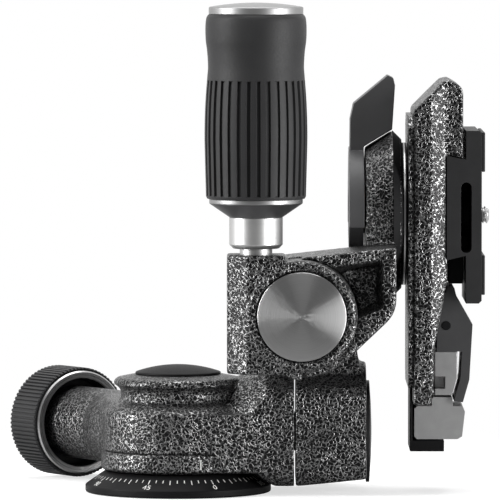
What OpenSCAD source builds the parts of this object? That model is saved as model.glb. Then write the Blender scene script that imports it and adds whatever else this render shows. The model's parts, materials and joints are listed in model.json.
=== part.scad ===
// Fluid video head: pan, side tilt and tilt axes, a twist-grip handle,
// a turning top platform and a sliding quick-release plate.
// Frame: the origin is on the pan axis, in the mouth of the tripod thread.
// z = 0 is the underside of the base, +Z is up, +X points at the folded platform.
// Rest pose: the platform is folded to the side and the handle stands upright.
// All sizes are in millimetres.

/* [Base] */
// Radius of the base disc
base_r = 33.2; // [31:0.1:36]
// Height of the straight rim
rim_h = 2.6; // [2:0.1:4]
// Height of the sloping scale face above the rim
scale_h = 5; // [4:0.1:6]
// Radius where the scale face ends
scale_r = 26; // [25:0.1:28]
// Wall radius of the tripod thread (3/8 inch thread, core diameter)
thread_r = 4; // [3.9:0.05:4.1]
// Depth of the tripod thread
thread_depth = 11.5; // [10:0.5:12]

/* [Pan housing] */
// Radius of the lower ring that carries the index mark
ring_r = 27.5; // [27:0.1:29]
// Height of the lower ring
ring_h = 7; // [6:0.1:8]
// Radius of the top flange
flange_r = 23; // [21:0.1:25]
// Height of the flange top above the base underside
housing_top = 42; // [41:0.1:44]
// Height of the edge between the flat face and the ledge
ledge_z = 29; // [27:0.1:30]
// Depth of the boss that carries the side tilt joint
boss_d = 42; // [40:0.1:46]
// Radius of the domed cap
cap_r = 15.3; // [14.5:0.1:17]
// Rise of the domed cap
cap_rise = 3.4; // [2.5:0.1:5]

/* [Pan knob] */
// Angle of the knob axis from +Y towards -X
knob_angle = 34; // [25:1:45]
// Height of the knob axis
knob_z = 20.5; // [20.3:0.1:23]
// Radius of the arm that carries the knob
knob_arm_r = 13.2; // [12:0.1:14.5]
// Distance from the pan axis to the knob's near face
knob_near = 64.8; // [60:0.1:75]
// Radius of the ribbed knob
knob_r = 20; // [18:0.1:20.2]
// Length of the knob
knob_len = 17.2; // [14:0.1:24]

/* [Side tilt] */
// Height of the side tilt axis
roll_z = 21.5; // [21:0.1:23]
// Distance from the pan axis to the split face
seam_x = 41.4; // [40:0.1:44]
// Gap between the two halves at the split
seam_gap = 0.5; // [0.5:0.1:1.5]
// Height of the rounded square section at the split
section = 37; // [35:0.1:38]
// Corner radius of that section
section_corner = 6; // [4:0.5:9]
// Length of the yoke block from the split to its end cap
yoke_len = 25.2; // [22:0.1:26]
// Radius of the round end cap
end_cap_r = 18.2; // [15:0.1:18.3]
// Thickness of the round end cap
end_cap_h = 2; // [1.6:0.1:5]

/* [Tilt] */
// Distance from the split to the tilt axis
tilt_from_seam = 2.4; // [2:0.1:4]
// Height of the tilt axis above the side tilt axis
tilt_rise = 44.5; // [43.5:0.1:50]
// Radius of the tilt hub
hub_r = 22.8; // [22:0.1:24]
// Half width of the yoke's upright
lug_half = 12.7; // [12:0.1:14]
// Width of the near side of the arm
near_cheek_t = 25; // [22:0.1:28]
// Width of the far side of the arm
far_cheek_t = 11; // [9:0.1:14]
// Radius of the spun aluminium cap
tilt_cap_r = 15.6; // [14:0.1:17]
// Radius of the raised ring round the cap
tilt_ring_r = 18.8; // [18:0.1:20]

/* [Handle] */
// Distance from the tilt axis back to the handle axis
handle_back = 16; // [14:0.1:18]
// Width of the bracket that holds the handle
tower_w = 20.4; // [19:0.1:23]
// Depth of the bracket
tower_d = 20.2; // [19:0.1:23]
// Height of the bracket's top above the tilt axis
tower_up = 21.3; // [19:0.1:24]
// Depth of the bracket's foot below the tilt axis
tower_down = 20.5; // [18:0.1:22]
// Radius of the handle rod
rod_r = 5.7; // [5:0.1:6.5]
// Radius of the silver neck
neck_r = 9.4; // [8.5:0.1:11]
// Length of the silver neck
neck_len = 11; // [9:0.1:14]
// Radius of the grip at its thickest
grip_r = 18; // [17.2:0.1:19]
// Length of the rubber grip
grip_len = 64.4; // [55:0.1:80]

/* [Top turntable] */
// Height of the turntable axis above the tilt axis
top_rise = 33.3; // [32.5:0.1:36]
// Largest radius of the cone under the platform
cone_r = 29.7; // [28:0.1:31]
// Distance from the tilt axis to the back of the cone
cone_back = 22.8; // [22.6:0.1:25]
// Length of the cone to its widest edge
cone_len = 9.5; // [8:0.1:11]
// Radius of the lock lever's ring
lever_ring_r = 24; // [22:0.1:25]
// Reach of the lock lever's paddle from the turntable axis
paddle_reach = 48; // [42:0.1:52]

/* [Platform] */
// Half width of the platform
plat_half = 27; // [24:0.1:32]
// Distance from the turntable ring to the face that the plate sits on
plat_t = 13.6; // [13.2:0.1:15]
// Rise of the platform's upper end above the turntable axis
plat_up = 48.4; // [45:0.1:55]
// Drop of the platform's lower end below the turntable axis
plat_down = 66.8; // [66.5:0.1:70]

/* [Plate] */
// Width of the dovetail foot of the plate
foot_w = 37.2; // [36.8:0.1:38.2]
// Thickness of the dovetail foot
foot_t = 6.8; // [6.4:0.1:7.4]
// Width of the plate
plate_w = 61.2; // [56:0.1:61.4]
// Thickness of the plate
plate_t = 5.6; // [5.2:0.1:7]
// Half length of the plate
plate_half = 23; // [20:0.1:26]
// Radius of the camera screw (1/4 inch)
screw_r = 3.15; // [3.1:0.01:3.175]

/* [Lever and catch] */
// Half width of the quick-release lever
lever_half = 14; // [12:0.1:16]
// Wall thickness of the lever
lever_wall = 3.2; // [1.6:0.1:3.4]
// Half width of the safety catch
catch_half = 12; // [10:0.1:14]
// Travel of the safety catch when it is pressed
catch_travel = 3; // [2:0.1:4]

/* [Fits] */
// Room between moving bodies
gap = 0.4; // [0.35:0.01:0.5]
// Radial fit of a shaft in its bush
fit = 0.03; // [0.02:0.01:0.05]

/* [Hidden] */
$fn = 96;
// Smallest overlap used so that joined shapes share volume
join = 0.02;

// Base and pan spindle
base_top = rim_h + scale_h;
bush_r = 2 * thread_r;
post_r = 9;
flange_in_r = post_r + 5.4;
flange_in_h = 2.4;
spindle_foot = base_top + flange_in_h;
bush_len = 4.8;
lower_bush_z = spindle_foot + gap;
ring_z = base_top + gap;
ring_top = ring_z + ring_h;
drum_r = 16.5;
drum_z = lower_bush_z + bush_len + 2 * gap;
drum_top = ledge_z - 2;
upper_bush_z = drum_top + 2 * gap;
nut_z = upper_bush_z + bush_len + gap;
nut_h = 4;
nut_r = 11;
post_top = nut_z + nut_h + 0.6;
spigot_r = ring_r - 6;
flange_h = 4;
screw_pitch_r = bush_r + 3.2;
m3_r = 1.5;
m3_head_r = 2.7;
m3_head_h = 2.2;

// Pan knob
knob_recess_r = knob_r - 4;
knob_recess = 6;
knob_ring_t = 0.9;
knob_ring_w = 2.8;
stem_r = 4;
shoe_r = 5;
shoe_len = 6;
shoe_near = drum_r + gap;
stem_near = shoe_near + shoe_len + gap;
knob_far = knob_near + knob_len;
knob_arm_end = knob_near + knob_recess - gap;

// Side tilt
yoke_x = seam_x + seam_gap;
yoke_end = yoke_x + yoke_len;
roll_r = 7;
roll_bush_wall = 3;
roll_bush_len = 3.4;
roll_flange_r = 12;
roll_flange_h = 3;
roll_in_x = ring_r + 0.5;
roll_drum_r = 12.6;
roll_drum_x = yoke_x + 2 * gap + roll_bush_len;
roll_nut_h = 3.2;
roll_nut_x = yoke_end - roll_nut_h - 2 * gap;
roll_bush2_x = roll_nut_x - gap - roll_bush_len;
roll_drum_end = roll_bush2_x - gap;
roll_knob_r = 9.4;
roll_knob_len = 14;
roll_knob_x = (roll_drum_x + roll_drum_end) / 2;
roll_stem_r = 3;
roll_shoe_r = 4;
half_section = section / 2;
roll_shoe_y = roll_drum_r + gap;
roll_shoe_len = 2.6;
roll_knob_y = boss_d / 2 + gap;

// Heights and depths on the arm, the top and its clamp
cheek_screw_rise = 3.4;
ramp_rise = 37.5;
back_plate_rise = ramp_rise - 2;
paddle_root = 14;
paddle_knee = 34;
paddle_bend = 39.5;
lever_out = 9.4;
tongue_in = 4.1;
catch_pin_in = 3.6;
catch_shelf = 10.6;

// Tilt
tilt_x = seam_x + tilt_from_seam;
tilt_z = roll_z + tilt_rise;
tilt_r = 8;
tilt_bush_wall = 3;
tilt_bush_len = 4;
tilt_drum_r = 15;
// the yoke's round top passes over the corner of the side tilt boss
corner_reach = norm([boss_d / 2 - section_corner, half_section - section_corner]) + section_corner;
lug_r = tilt_rise - corner_reach - gap;
crown_r = min(corner_reach, norm([lug_half + gap, tilt_rise - hub_r])) - gap;
near_y = -lug_half - gap;
arm_y = near_y - near_cheek_t;
far_y = lug_half + gap;
far_out = far_y + far_cheek_t;
bracket_y = arm_y - tower_d;
ring_rise = 1;
tilt_cap_t = 2.2;
far_cap_t = 2;
tilt_nut_h = 4;
tilt_nut_r = 11;

// Handle
handle_x = tilt_x - handle_back;
handle_y = arm_y - tower_d / 2;
tower_top = tilt_z + tower_up;
tower_bottom = tilt_z - tower_down;
tower_chamfer = 7;
neck_z = tower_top + 2.1;
neck_top = neck_z + neck_len;
core_h = 4.8;
core_r = grip_r - 1.6;
collar_z = neck_top + core_h;
collar_h = 1.7;
grip_z = collar_z + collar_h;
grip_top = grip_z + grip_len;
end_cap_rise = 4.1;
rod_in = 22;
rod_seat = tower_top - rod_in;
brake_len = 7;

// Top turntable
top_z = tilt_z + top_rise;
cone_x = tilt_x + cone_back;
cone_edge_x = cone_x + cone_len;
cone_back_r = cone_r - 5.9;
cone_face_x = cone_edge_x + 3.6;
cone_face_r = cone_r - 3;
slip_r = cone_r - 4.3;
slip_t = 1.6;
slip_x = cone_face_x;
slip_end = slip_x + slip_t;
top_r = 7;
top_bush_wall = 3;
top_bush_len = 4.5;
lever_t = 5.3;
lever_x = cone_x - gap - lever_t;
top_nut_r = 9;
top_nut_h = 2.6;
arm_end_x = cone_edge_x + 0.9;
arm_low_z = tilt_z + 0.6;
arm_high_z = tilt_z + 23.8;
arm_top_drop = 3.6;
arm_front_y = bracket_y + 8;
far_drop = 4.5;

// Platform
plat_back_x = slip_end + gap;
back_t = 1.8;
plat_x = plat_back_x + back_t;
seat_x = slip_end + plat_t;
plat_top = top_z + plat_up;
plat_bottom = top_z - plat_down;
foot_mid = top_z + 3.1;
foot_high = foot_mid + foot_w / 2;
foot_low = foot_mid - foot_w / 2;
hook_t = foot_t - 0.6;
foot_undercut = 1.6;
foot_x = seat_x + gap;
plate_x = foot_x + foot_t;
plate_face = plate_x + plate_t;
plate_low = top_z - 30.8;
plate_high = plate_low + plate_w;
bulge_z = foot_low - 2;
bulge_low = bulge_z - 4.6;
waist_x = seat_x - 5.2;

// Lever, jaw and catch
pivot_x = seat_x + 0.5;
pivot_z = foot_low - 23.7;
pin_r = 1.6;
neck_cam_r = 1.5;
cam_up = 12.6;
cam_out = 1.6;
jaw_travel = 1.5;
jaw_low = pivot_z + cam_up + neck_cam_r + 0.8;
jaw_x = seat_x + 1.4;
jaw_half = lever_half - 1;
lever_end = pivot_z - 27.3;
cheek_low = pivot_z - 9.2;
tongue_low = cheek_low - 15.6;
catch_high = cheek_low - 16.4;
catch_mid = catch_high - 3.2;
catch_low = catch_mid - 11.8;
catch_x = plat_x + 0.7;
catch_out = catch_x + 18;
catch_pin_r = 2;
bracket_t = 0.9;
bracket_low = catch_low - gap - 4;

// A ring or tube standing on the XY plane
module tube(r_out, r_in, h) {
  difference() {
    cylinder(r = r_out, h = h);
    translate([0, 0, -1])
      cylinder(r = r_in, h = h + 2);
  }
}

// A rod along X on the axis through y, z
module x_rod(r, x0, x1, y, z) {
  translate([x0, y, z])
    rotate([0, 90, 0])
      cylinder(r = r, h = x1 - x0);
}

// A tube along X
module x_tube(r_out, r_in, x0, x1, y, z) {
  translate([x0, y, z])
    rotate([0, 90, 0])
      tube(r_out, r_in, x1 - x0);
}

// A rod along Y on the axis through x, z
module y_rod(r, y0, y1, x, z) {
  translate([x, y0, z])
    rotate([-90, 0, 0])
      cylinder(r = r, h = y1 - y0);
}

// A tube along Y
module y_tube(r_out, r_in, y0, y1, x, z) {
  translate([x, y0, z])
    rotate([-90, 0, 0])
      tube(r_out, r_in, y1 - y0);
}

// An outline drawn in X and Z, extruded from y0 to y1
module y_prism(points, y0, y1) {
  translate([0, y1, 0])
    rotate([90, 0, 0])
      linear_extrude(height = y1 - y0)
        polygon(points);
}

// The rounded square section of the side tilt joint, from x0 to x1
module section_prism(x0, x1, d, w, c) {
  translate([x0, 0, roll_z])
    rotate([90, 0, 90])
      linear_extrude(height = x1 - x0) {
        square([d, w - 2 * c], center = true);
        square([d - 2 * c, w], center = true);
        for (sx = [-1, 1], sy = [-1, 1])
          translate([sx * (d / 2 - c), sy * (w / 2 - c)])
            circle(r = c);
      }
}

// Rounded top of the boss and of the yoke block, about the side tilt axis
module crown(x0, x1) {
  intersection() {
    x_rod(crown_r, x0, x1, 0, roll_z);
    translate([x0, -boss_d / 2, roll_z])
      cube([x1 - x0, boss_d, crown_r]);
  }
}

// Places children so that their +Z runs out along the pan knob's axis
module on_knob_axis() {
  translate([0, 0, knob_z])
    rotate([0, 0, knob_angle])
      rotate([-90, 0, 0])
        children();
}

// A low dome with a flat underside, standing on the XY plane
module dome(r, h, edge) {
  ball_r = (r * r + (h - edge) * (h - edge)) / (2 * (h - edge));
  intersection() {
    cylinder(r = r, h = h);
    translate([0, 0, h - ball_r])
      sphere(r = ball_r, $fn = 180);
  }
}

// Points of a soft bend that leaves p towards q and arrives at r
function bend(p, q, r) = [for (t = [0:0.2:1]) (1 - t) * (1 - t) * p + 2 * t * (1 - t) * q + t * t * r];

// The point where a line from p touches the circle at c; side is 1 or -1
function tangent(c, r, p, side) =
  let (d = p - c)
  let (a = atan2(d[1], d[0]) + side * acos(r / norm(d)))
  c + r * [cos(a), sin(a)];

module base_disc() {
  color("dimgray")
    difference() {
      rotate_extrude()
        polygon([
          [bush_r, 0], [base_r - 0.4, 0], [base_r, 0.4], [base_r, rim_h],
          [scale_r, base_top], [bush_r, base_top]
        ]);
      for (a = [30, 150, 270])
        rotate([0, 0, a])
          translate([screw_pitch_r, 0, -1]) {
            cylinder(r = m3_r + fit, h = base_top + 2, $fn = 32);
            cylinder(r = m3_head_r + 0.2, h = m3_head_h + 1.3, $fn = 32);
          }
    }
}

module tripod_bush() {
  color("goldenrod")
    difference() {
      cylinder(r = bush_r, h = thread_depth + 1.5);
      translate([0, 0, -1])
        cylinder(r = thread_r, h = thread_depth + 1);
    }
}

module base_screws() {
  color("silver")
    for (a = [30, 150, 270])
      rotate([0, 0, a])
        translate([screw_pitch_r, 0, 0]) {
          translate([0, 0, 0.3])
            cylinder(r = m3_head_r, h = m3_head_h, $fn = 32);
          translate([0, 0, 0.3])
            cylinder(r = m3_r, h = spindle_foot - 0.3, $fn = 32);
        }
}

module pan_spindle() {
  color("lightsteelblue")
    difference() {
      union() {
        translate([0, 0, base_top])
          cylinder(r = flange_in_r, h = flange_in_h);
        translate([0, 0, base_top])
          cylinder(r = post_r, h = post_top - base_top);
      }
      translate([0, 0, base_top - 1])
        cylinder(r = bush_r, h = thread_depth + 1.5 - base_top + 1);
      for (a = [30, 150, 270])
        rotate([0, 0, a])
          translate([screw_pitch_r, 0, 0])
            cylinder(r = m3_r, h = spindle_foot + 1, $fn = 32);
    }
}

module pan_drum() {
  color("slategray")
    translate([0, 0, drum_z])
      tube(drum_r, post_r, drum_top - drum_z);
}

module pan_nut() {
  color("silver")
    translate([0, 0, nut_z])
      tube(nut_r, post_r, nut_h);
}

// Radius of the bush seats in the pan housing
function pan_seat_r() = post_r + 4;

module pan_bushes() {
  color("goldenrod") {
    translate([0, 0, lower_bush_z])
      tube(pan_seat_r(), post_r + fit, bush_len);
    translate([0, 0, upper_bush_z])
      tube(pan_seat_r(), post_r + fit, bush_len);
  }
}

// Everything that is hollow round the pan spindle
module pan_cavity() {
  translate([0, 0, base_top - 1])
    cylinder(r = flange_in_r + gap, h = spindle_foot + gap - base_top + 1);
  translate([0, 0, base_top])
    cylinder(r = pan_seat_r(), h = housing_top - base_top + 1);
  translate([0, 0, drum_z - gap])
    cylinder(r = drum_r + gap, h = drum_top - drum_z + 2 * gap);
}

module pan_housing() {
  groove_r = 3.7;
  ledge_rise = 4;
  ledge_in = 5;
  body_r = ring_r - 0.5;
  color("gray")
    difference() {
      union() {
        difference() {
          union() {
            // round body with a sloping ledge and shoulder, and a hollow waist
            difference() {
              rotate_extrude()
                polygon([
                  [0, ring_z], [body_r, ring_z], [body_r, ledge_z],
                  [body_r - ledge_in, ledge_z + ledge_rise],
                  [flange_r, ledge_z + ledge_rise], [flange_r, housing_top - 2.4],
                  [flange_r - 1, housing_top - 1.2], [cap_r + 0.6, housing_top], [0, housing_top]
                ]);
              rotate_extrude()
                translate([flange_r + 1, housing_top - flange_h - groove_r + 0.6])
                  circle(r = groove_r, $fn = 48);
            }
            // flanks that lead from the round body to the boss
            translate([0, 0, ring_z])
              linear_extrude(height = ledge_z - ring_z)
                polygon([
                  [0, -body_r], [body_r * 0.3, -body_r * 0.954], [base_r, -boss_d / 2],
                  [seam_x - 2, -boss_d / 2],
                  [seam_x - 2, boss_d / 2], [base_r, boss_d / 2], [body_r * 0.3, body_r * 0.954], [0, body_r]
                ]);
            // blend from the body into the knob's arm
            hull() {
              translate([0, 0, ring_top])
                cylinder(r = body_r - 4, h = ledge_z + 3 - ring_top, $fn = 64);
              on_knob_axis()
                translate([0, 0, knob_near * 0.66])
                  cylinder(r = knob_arm_r - 0.2, h = 1, $fn = 64);
            }
            // boss that carries the side tilt joint
            section_prism(base_r - 2, seam_x, boss_d, section, section_corner);
            intersection() {
              section_prism(drum_r, base_r, boss_d, section, section_corner);
              translate([0, -boss_d / 2, 0])
                cube([base_r, boss_d, ledge_z]);
            }
            crown(base_r - 2, seam_x);
            // slope that rises from the ledge to the crown
            intersection() {
              translate([6, 0, roll_z])
                rotate([0, 90, 0])
                  cylinder(r1 = ledge_z + ledge_rise - roll_z, r2 = crown_r, h = base_r - 8);
              translate([0, -boss_d / 2, ledge_z])
                cube([base_r, boss_d, crown_r]);
            }
            // arm that carries the pan knob
            on_knob_axis()
              translate([0, 0, drum_r])
                cylinder(r = knob_arm_r, h = knob_arm_end - drum_r);
          }
          // room over the base disc, and the seat of the lower ring
          translate([0, 0, -1])
            cylinder(r = base_r + 2 * gap, h = ring_z + 1);
          translate([0, 0, -1])
            cylinder(r = ring_r, h = ring_top + 1);
          // slope over the edge of the base
          y_prism([
            [0, -1], [base_r + 1.2, -1], [base_r + 1.2, rim_h + gap], [scale_r + 1.2, ring_z], [0, ring_z]
          ], -boss_d, boss_d);
        }
        translate([0, 0, ring_z])
          cylinder(r = spigot_r, h = ring_h + 1);
      }
      pan_cavity();
      on_knob_axis() {
        translate([0, 0, drum_r - 2])
          cylinder(r = shoe_r + fit, h = stem_near + 2 - drum_r);
        translate([0, 0, drum_r])
          cylinder(r = stem_r + fit, h = knob_arm_end);
      }
      x_rod(roll_r, roll_in_x, seam_x + 1, 0, roll_z);
      x_rod(roll_flange_r, seam_x - roll_flange_h, seam_x + 1, 0, roll_z);
    }
}

module pan_ring() {
  chamfer = 0.8;
  color("darkgray")
    translate([0, 0, ring_z])
      rotate_extrude()
        polygon([
          [spigot_r, 0], [ring_r - chamfer, 0], [ring_r, chamfer],
          [ring_r, ring_h - chamfer], [ring_r - chamfer, ring_h], [spigot_r, ring_h]
        ]);
}

module pan_cap() {
  color("black") {
    translate([0, 0, housing_top])
      dome(cap_r, cap_rise, 0.8);
    translate([0, 0, housing_top - 2])
      cylinder(r = pan_seat_r() - fit, h = 2 + join);
  }
}

module pan_knob_grip() {
  color("black")
    on_knob_axis()
      translate([0, 0, knob_near])
        difference() {
          cylinder(r = knob_r, h = knob_len);
          translate([0, 0, -1])
            cylinder(r = knob_recess_r, h = knob_recess + 1);
          cylinder(r = stem_r, h = knob_len - 3);
        }
}

module pan_knob_ring() {
  color("silver")
    on_knob_axis()
      translate([0, 0, knob_near - knob_ring_t])
        tube(knob_recess_r + knob_ring_w, knob_recess_r + 0.1, knob_ring_t);
}

module pan_knob_stem() {
  color("lightsteelblue")
    on_knob_axis()
      translate([0, 0, stem_near])
        cylinder(r = stem_r, h = knob_far - 3 - stem_near);
}

module pan_brake_shoe() {
  color("tan")
    on_knob_axis()
      difference() {
        translate([0, 0, drum_r])
          cylinder(r = shoe_r, h = shoe_near + shoe_len - drum_r - gap);
        rotate([90, 0, 0])
          translate([0, 0, -knob_r])
            cylinder(r = drum_r + gap, h = 2 * knob_r);
      }
}

module roll_shaft() {
  color("lightsteelblue") {
    x_rod(roll_r, roll_in_x, yoke_end - gap, 0, roll_z);
    x_rod(roll_flange_r, seam_x - roll_flange_h, seam_x, 0, roll_z);
  }
}

module roll_drum() {
  color("slategray")
    x_tube(roll_drum_r, roll_r, roll_drum_x, roll_drum_end, 0, roll_z);
}

module roll_nut() {
  color("silver")
    x_tube(roll_r + 3, roll_r, roll_nut_x, roll_nut_x + roll_nut_h, 0, roll_z);
}

// Bore of the yoke, open towards its end cap
function roll_cavity_r() = roll_drum_r + gap;

module roll_bushes() {
  color("goldenrod") {
    x_tube(roll_r + roll_bush_wall, roll_r + fit, yoke_x + gap, yoke_x + gap + roll_bush_len, 0, roll_z);
    x_tube(roll_cavity_r(), roll_r + fit, roll_bush2_x, roll_bush2_x + roll_bush_len, 0, roll_z);
  }
}

module side_yoke() {
  shoulder_z = tilt_z - 15.8;
  shoulder_x = tilt_x + 20.1;
  bottom_rise = 2.8;
  color("gray")
    difference() {
      union() {
        intersection() {
          section_prism(yoke_x, yoke_end, boss_d, section, section_corner);
          y_prism([
            [yoke_x, roll_z - half_section], [yoke_end, roll_z - half_section + bottom_rise],
            [yoke_end, roll_z + half_section], [yoke_x, roll_z + half_section]
          ], -boss_d / 2, boss_d / 2);
        }
        crown(yoke_x, yoke_end);
        // upright with a round top
        y_prism([
          [yoke_x, roll_z], [yoke_end, roll_z], [yoke_end, roll_z + 11.2],
          [shoulder_x, shoulder_z], [tilt_x + lug_r, tilt_z], [yoke_x, tilt_z]
        ], -lug_half, lug_half);
        y_rod(lug_r, -lug_half, lug_half, tilt_x, tilt_z);
      }
      // side tilt bearing
      x_rod(roll_r + roll_bush_wall, yoke_x - 1, roll_drum_x, 0, roll_z);
      x_rod(roll_cavity_r(), roll_drum_x - gap, yoke_end + 1, 0, roll_z);
      // tilt bearing
      y_rod(tilt_drum_r + gap, -lug_half - 1, lug_half - tilt_bush_len - gap, tilt_x, tilt_z);
      y_rod(tilt_r + tilt_bush_wall, 0, lug_half + 1, tilt_x, tilt_z);
      // side tilt brake
      y_rod(roll_shoe_r + fit, 0, roll_shoe_y + roll_shoe_len + 2 * gap, roll_knob_x, roll_z);
      y_rod(roll_stem_r + fit, 0, boss_d / 2 + 1, roll_knob_x, roll_z);
    }
}

module roll_end_cap() {
  color("dimgray")
    translate([yoke_end, 0, roll_z])
      rotate([0, 90, 0])
        dome(min(end_cap_r, half_section - 0.3), end_cap_h, 1.2);
}

module roll_knob() {
  color("black")
    difference() {
      y_rod(roll_knob_r, roll_knob_y, roll_knob_y + roll_knob_len, roll_knob_x, roll_z);
      y_rod(roll_stem_r, roll_knob_y - 1, roll_knob_y + roll_knob_len - 4, roll_knob_x, roll_z);
    }
}

module roll_knob_stem() {
  color("lightsteelblue")
    y_rod(roll_stem_r, roll_shoe_y + roll_shoe_len + 2 * gap, roll_knob_y + roll_knob_len - 4,
      roll_knob_x, roll_z);
}

module roll_brake_shoe() {
  color("tan")
    difference() {
      y_rod(roll_shoe_r, roll_drum_r - 0.6, roll_shoe_y + roll_shoe_len, roll_knob_x, roll_z);
      x_rod(roll_drum_r + gap, roll_drum_x, roll_drum_end, 0, roll_z);
    }
}

module tilt_bushes() {
  color("goldenrod") {
    y_tube(tilt_drum_r + gap, tilt_r + fit, -lug_half, tilt_bush_len - lug_half, tilt_x, tilt_z);
    y_tube(tilt_r + tilt_bush_wall, tilt_r + fit, lug_half - tilt_bush_len, lug_half, tilt_x, tilt_z);
  }
}

module tilt_shaft() {
  color("lightsteelblue")
    y_rod(tilt_r, bracket_y + 2, far_out - 1, tilt_x, tilt_z);
}

module tilt_drum() {
  half = lug_half - tilt_bush_len - 2 * gap;
  color("slategray")
    y_tube(tilt_drum_r, tilt_r, -half, half, tilt_x, tilt_z);
}

module tilt_nut() {
  color("silver")
    y_tube(tilt_nut_r, tilt_r, bracket_y + 2, bracket_y + 2 + tilt_nut_h, tilt_x, tilt_z);
}

// Outline of the arm's sides: lower tangent edge, end face and straight top edge
function arm_outline() =
  let (c = [tilt_x, tilt_z])
  let (low = [arm_end_x, arm_low_z])
  let (t = tangent(c, hub_r - 0.4, low, -1))
  concat(
    [c, t], bend(low + 5 * (t - low) / norm(t - low), low, low + [0, 5]),
    [[arm_end_x, arm_high_z], [tilt_x, arm_top_z(tilt_x)]]
  );

// Height of the arm's straight top edge
function arm_top_z(x) = arm_high_z - arm_top_drop * (arm_end_x - x) / (arm_end_x - tilt_x);

// Everything above the arm's top edge, to trim the round hub
module above_arm(x0, drop, y0, y1) {
  y_prism([
    [x0, arm_top_z(x0) - drop], [arm_end_x + 1, arm_high_z - drop],
    [arm_end_x + 1, arm_high_z + hub_r], [x0, arm_high_z + hub_r]
  ], y0, y1);
}

// Radius of the bracket's hub, inside the arm's raised side
function bracket_hub_r() = tilt_ring_r + 0.7;

// Outline of the pocket in the arm's near side, drawn in by d
function pocket_outline(d) = [
  [tilt_x + 4 + d, arm_top_z(tilt_x) - 4.4 - d], [arm_end_x - 4.6 - d, arm_high_z - 4.6 - d],
  [arm_end_x - 4.6 - d, arm_low_z + 1.8 + d], [tilt_x + 10 + d, arm_low_z - 5.4 + d]
];

// The cone under the platform, as a solid of revolution
module cone_body(extra) {
  translate([cone_x, 0, top_z])
    rotate([0, 90, 0])
      rotate_extrude()
        polygon([
          [0, 0], [cone_back_r + extra, 0], [cone_r + extra, cone_len],
          [cone_face_r + extra, cone_face_x - cone_x], [0, cone_face_x - cone_x]
        ]);
}

module tilt_arm() {
  pocket_depth = 9;
  pocket_slope = 2.2;
  color("gray")
    difference() {
      union() {
        difference() {
          union() {
            difference() {
              y_prism(arm_outline(), arm_front_y, near_y);
              y_rod(bracket_hub_r(), arm_front_y - 1, arm_y + 1, tilt_x, tilt_z);
            }
            difference() {
              y_rod(hub_r, arm_y, near_y, tilt_x, tilt_z);
              above_arm(tilt_x - hub_r, 0, arm_y - 1, near_y + 1);
            }
          }
          // pocket with sloping walls
          hull() {
            y_prism(pocket_outline(0), arm_front_y - 0.5, arm_front_y);
            y_prism(pocket_outline(pocket_slope), arm_front_y + pocket_depth - 0.5,
              arm_front_y + pocket_depth);
          }
        }
        y_prism([
          [cone_x, arm_low_z], [arm_end_x - 2.5, arm_low_z], [arm_end_x, arm_low_z + 5],
          [arm_end_x, arm_high_z], [cone_x, arm_high_z]
        ], near_y - 1, far_y);
        cone_body(0);
      }
      y_rod(tilt_r, arm_y - 1, near_y + 1, tilt_x, tilt_z);
      // bearing of the turntable
      x_rod(top_r + top_bush_wall, cone_x - 1, cone_face_x + 1, 0, top_z);
      for (z = cheek_screw_z())
        y_rod(m3_r, far_y - 8, far_y + 1, (cone_x + arm_end_x) / 2, z);
    }
}

// Height of the screw that holds the far side of the arm
function cheek_screw_z() = [arm_low_z + cheek_screw_rise];

module far_cheek() {
  color("gray")
    difference() {
      union() {
        y_prism(arm_outline(), far_y, far_out);
        y_rod(hub_r, far_y, far_out, tilt_x, tilt_z);
      }
      above_arm(tilt_x - hub_r, far_drop, far_y - 1, far_out + 1);
      cone_body(0.05);
      y_rod(tilt_r, far_y - 1, far_out + 1, tilt_x, tilt_z);
      x_rod(lever_ring_r + 1, lever_x - 1, cone_x, 0, top_z);
      for (z = cheek_screw_z()) {
        y_rod(m3_r, far_y - 1, far_out + 1, (cone_x + arm_end_x) / 2, z);
        y_rod(m3_head_r, far_out - m3_head_h, far_out + 1, (cone_x + arm_end_x) / 2, z);
      }
    }
}

module cheek_screws() {
  color("silver")
    for (z = cheek_screw_z()) {
      y_rod(m3_r, far_y - 8, far_out - 0.4, (cone_x + arm_end_x) / 2, z);
      y_rod(m3_head_r, far_out - m3_head_h, far_out - 0.4, (cone_x + arm_end_x) / 2, z);
    }
}

module handle_bracket() {
  slot_w = 1.3;
  slot_h = 6.4;
  slot_x = tilt_x - tilt_ring_r + 2.2;
  left = handle_x - tower_w / 2;
  right = handle_x + tower_w / 2;
  color("gray")
    difference() {
      union() {
        y_rod(bracket_hub_r(), bracket_y, arm_y, tilt_x, tilt_z);
        // web under the hub, beside the tower
        y_prism([
          [right - 1, tilt_z], [right - 1, tower_bottom], [tilt_x - 2, tilt_z - hub_r + 0.6],
          [tilt_x, tilt_z - hub_r + 0.4], [tilt_x, tilt_z]
        ], bracket_y, arm_y);
        y_rod(tilt_ring_r, bracket_y - ring_rise, bracket_y, tilt_x, tilt_z);
        translate([0, 0, tower_bottom])
          linear_extrude(height = tower_top - tower_bottom)
            polygon([
              [left, arm_y], [left, bracket_y + tower_chamfer], [left + tower_chamfer, bracket_y],
              [right, bracket_y], [right, arm_y]
            ]);
      }
      y_rod(tilt_r, bracket_y - 2, arm_y + 1, tilt_x, tilt_z);
      y_rod(tilt_nut_r + 0.2, bracket_y - 2, bracket_y + 2 + tilt_nut_h, tilt_x, tilt_z);
      y_rod(tilt_cap_r + 0.3, bracket_y - ring_rise - 1, bracket_y + 1, tilt_x, tilt_z);
      // socket of the handle rod and the brake under it
      translate([handle_x, handle_y, rod_seat])
        cylinder(r = rod_r + fit, h = rod_in + 1);
      translate([handle_x, handle_y, rod_seat - brake_len - gap])
        cylinder(r = rod_r - 1 + fit, h = brake_len + 2);
      // clamp slot beside the ring
      translate([slot_x - slot_w / 2, bracket_y - ring_rise - 1, tilt_z - slot_h + 0.6])
        cube([slot_w, 5, slot_h]);
    }
}

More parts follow.
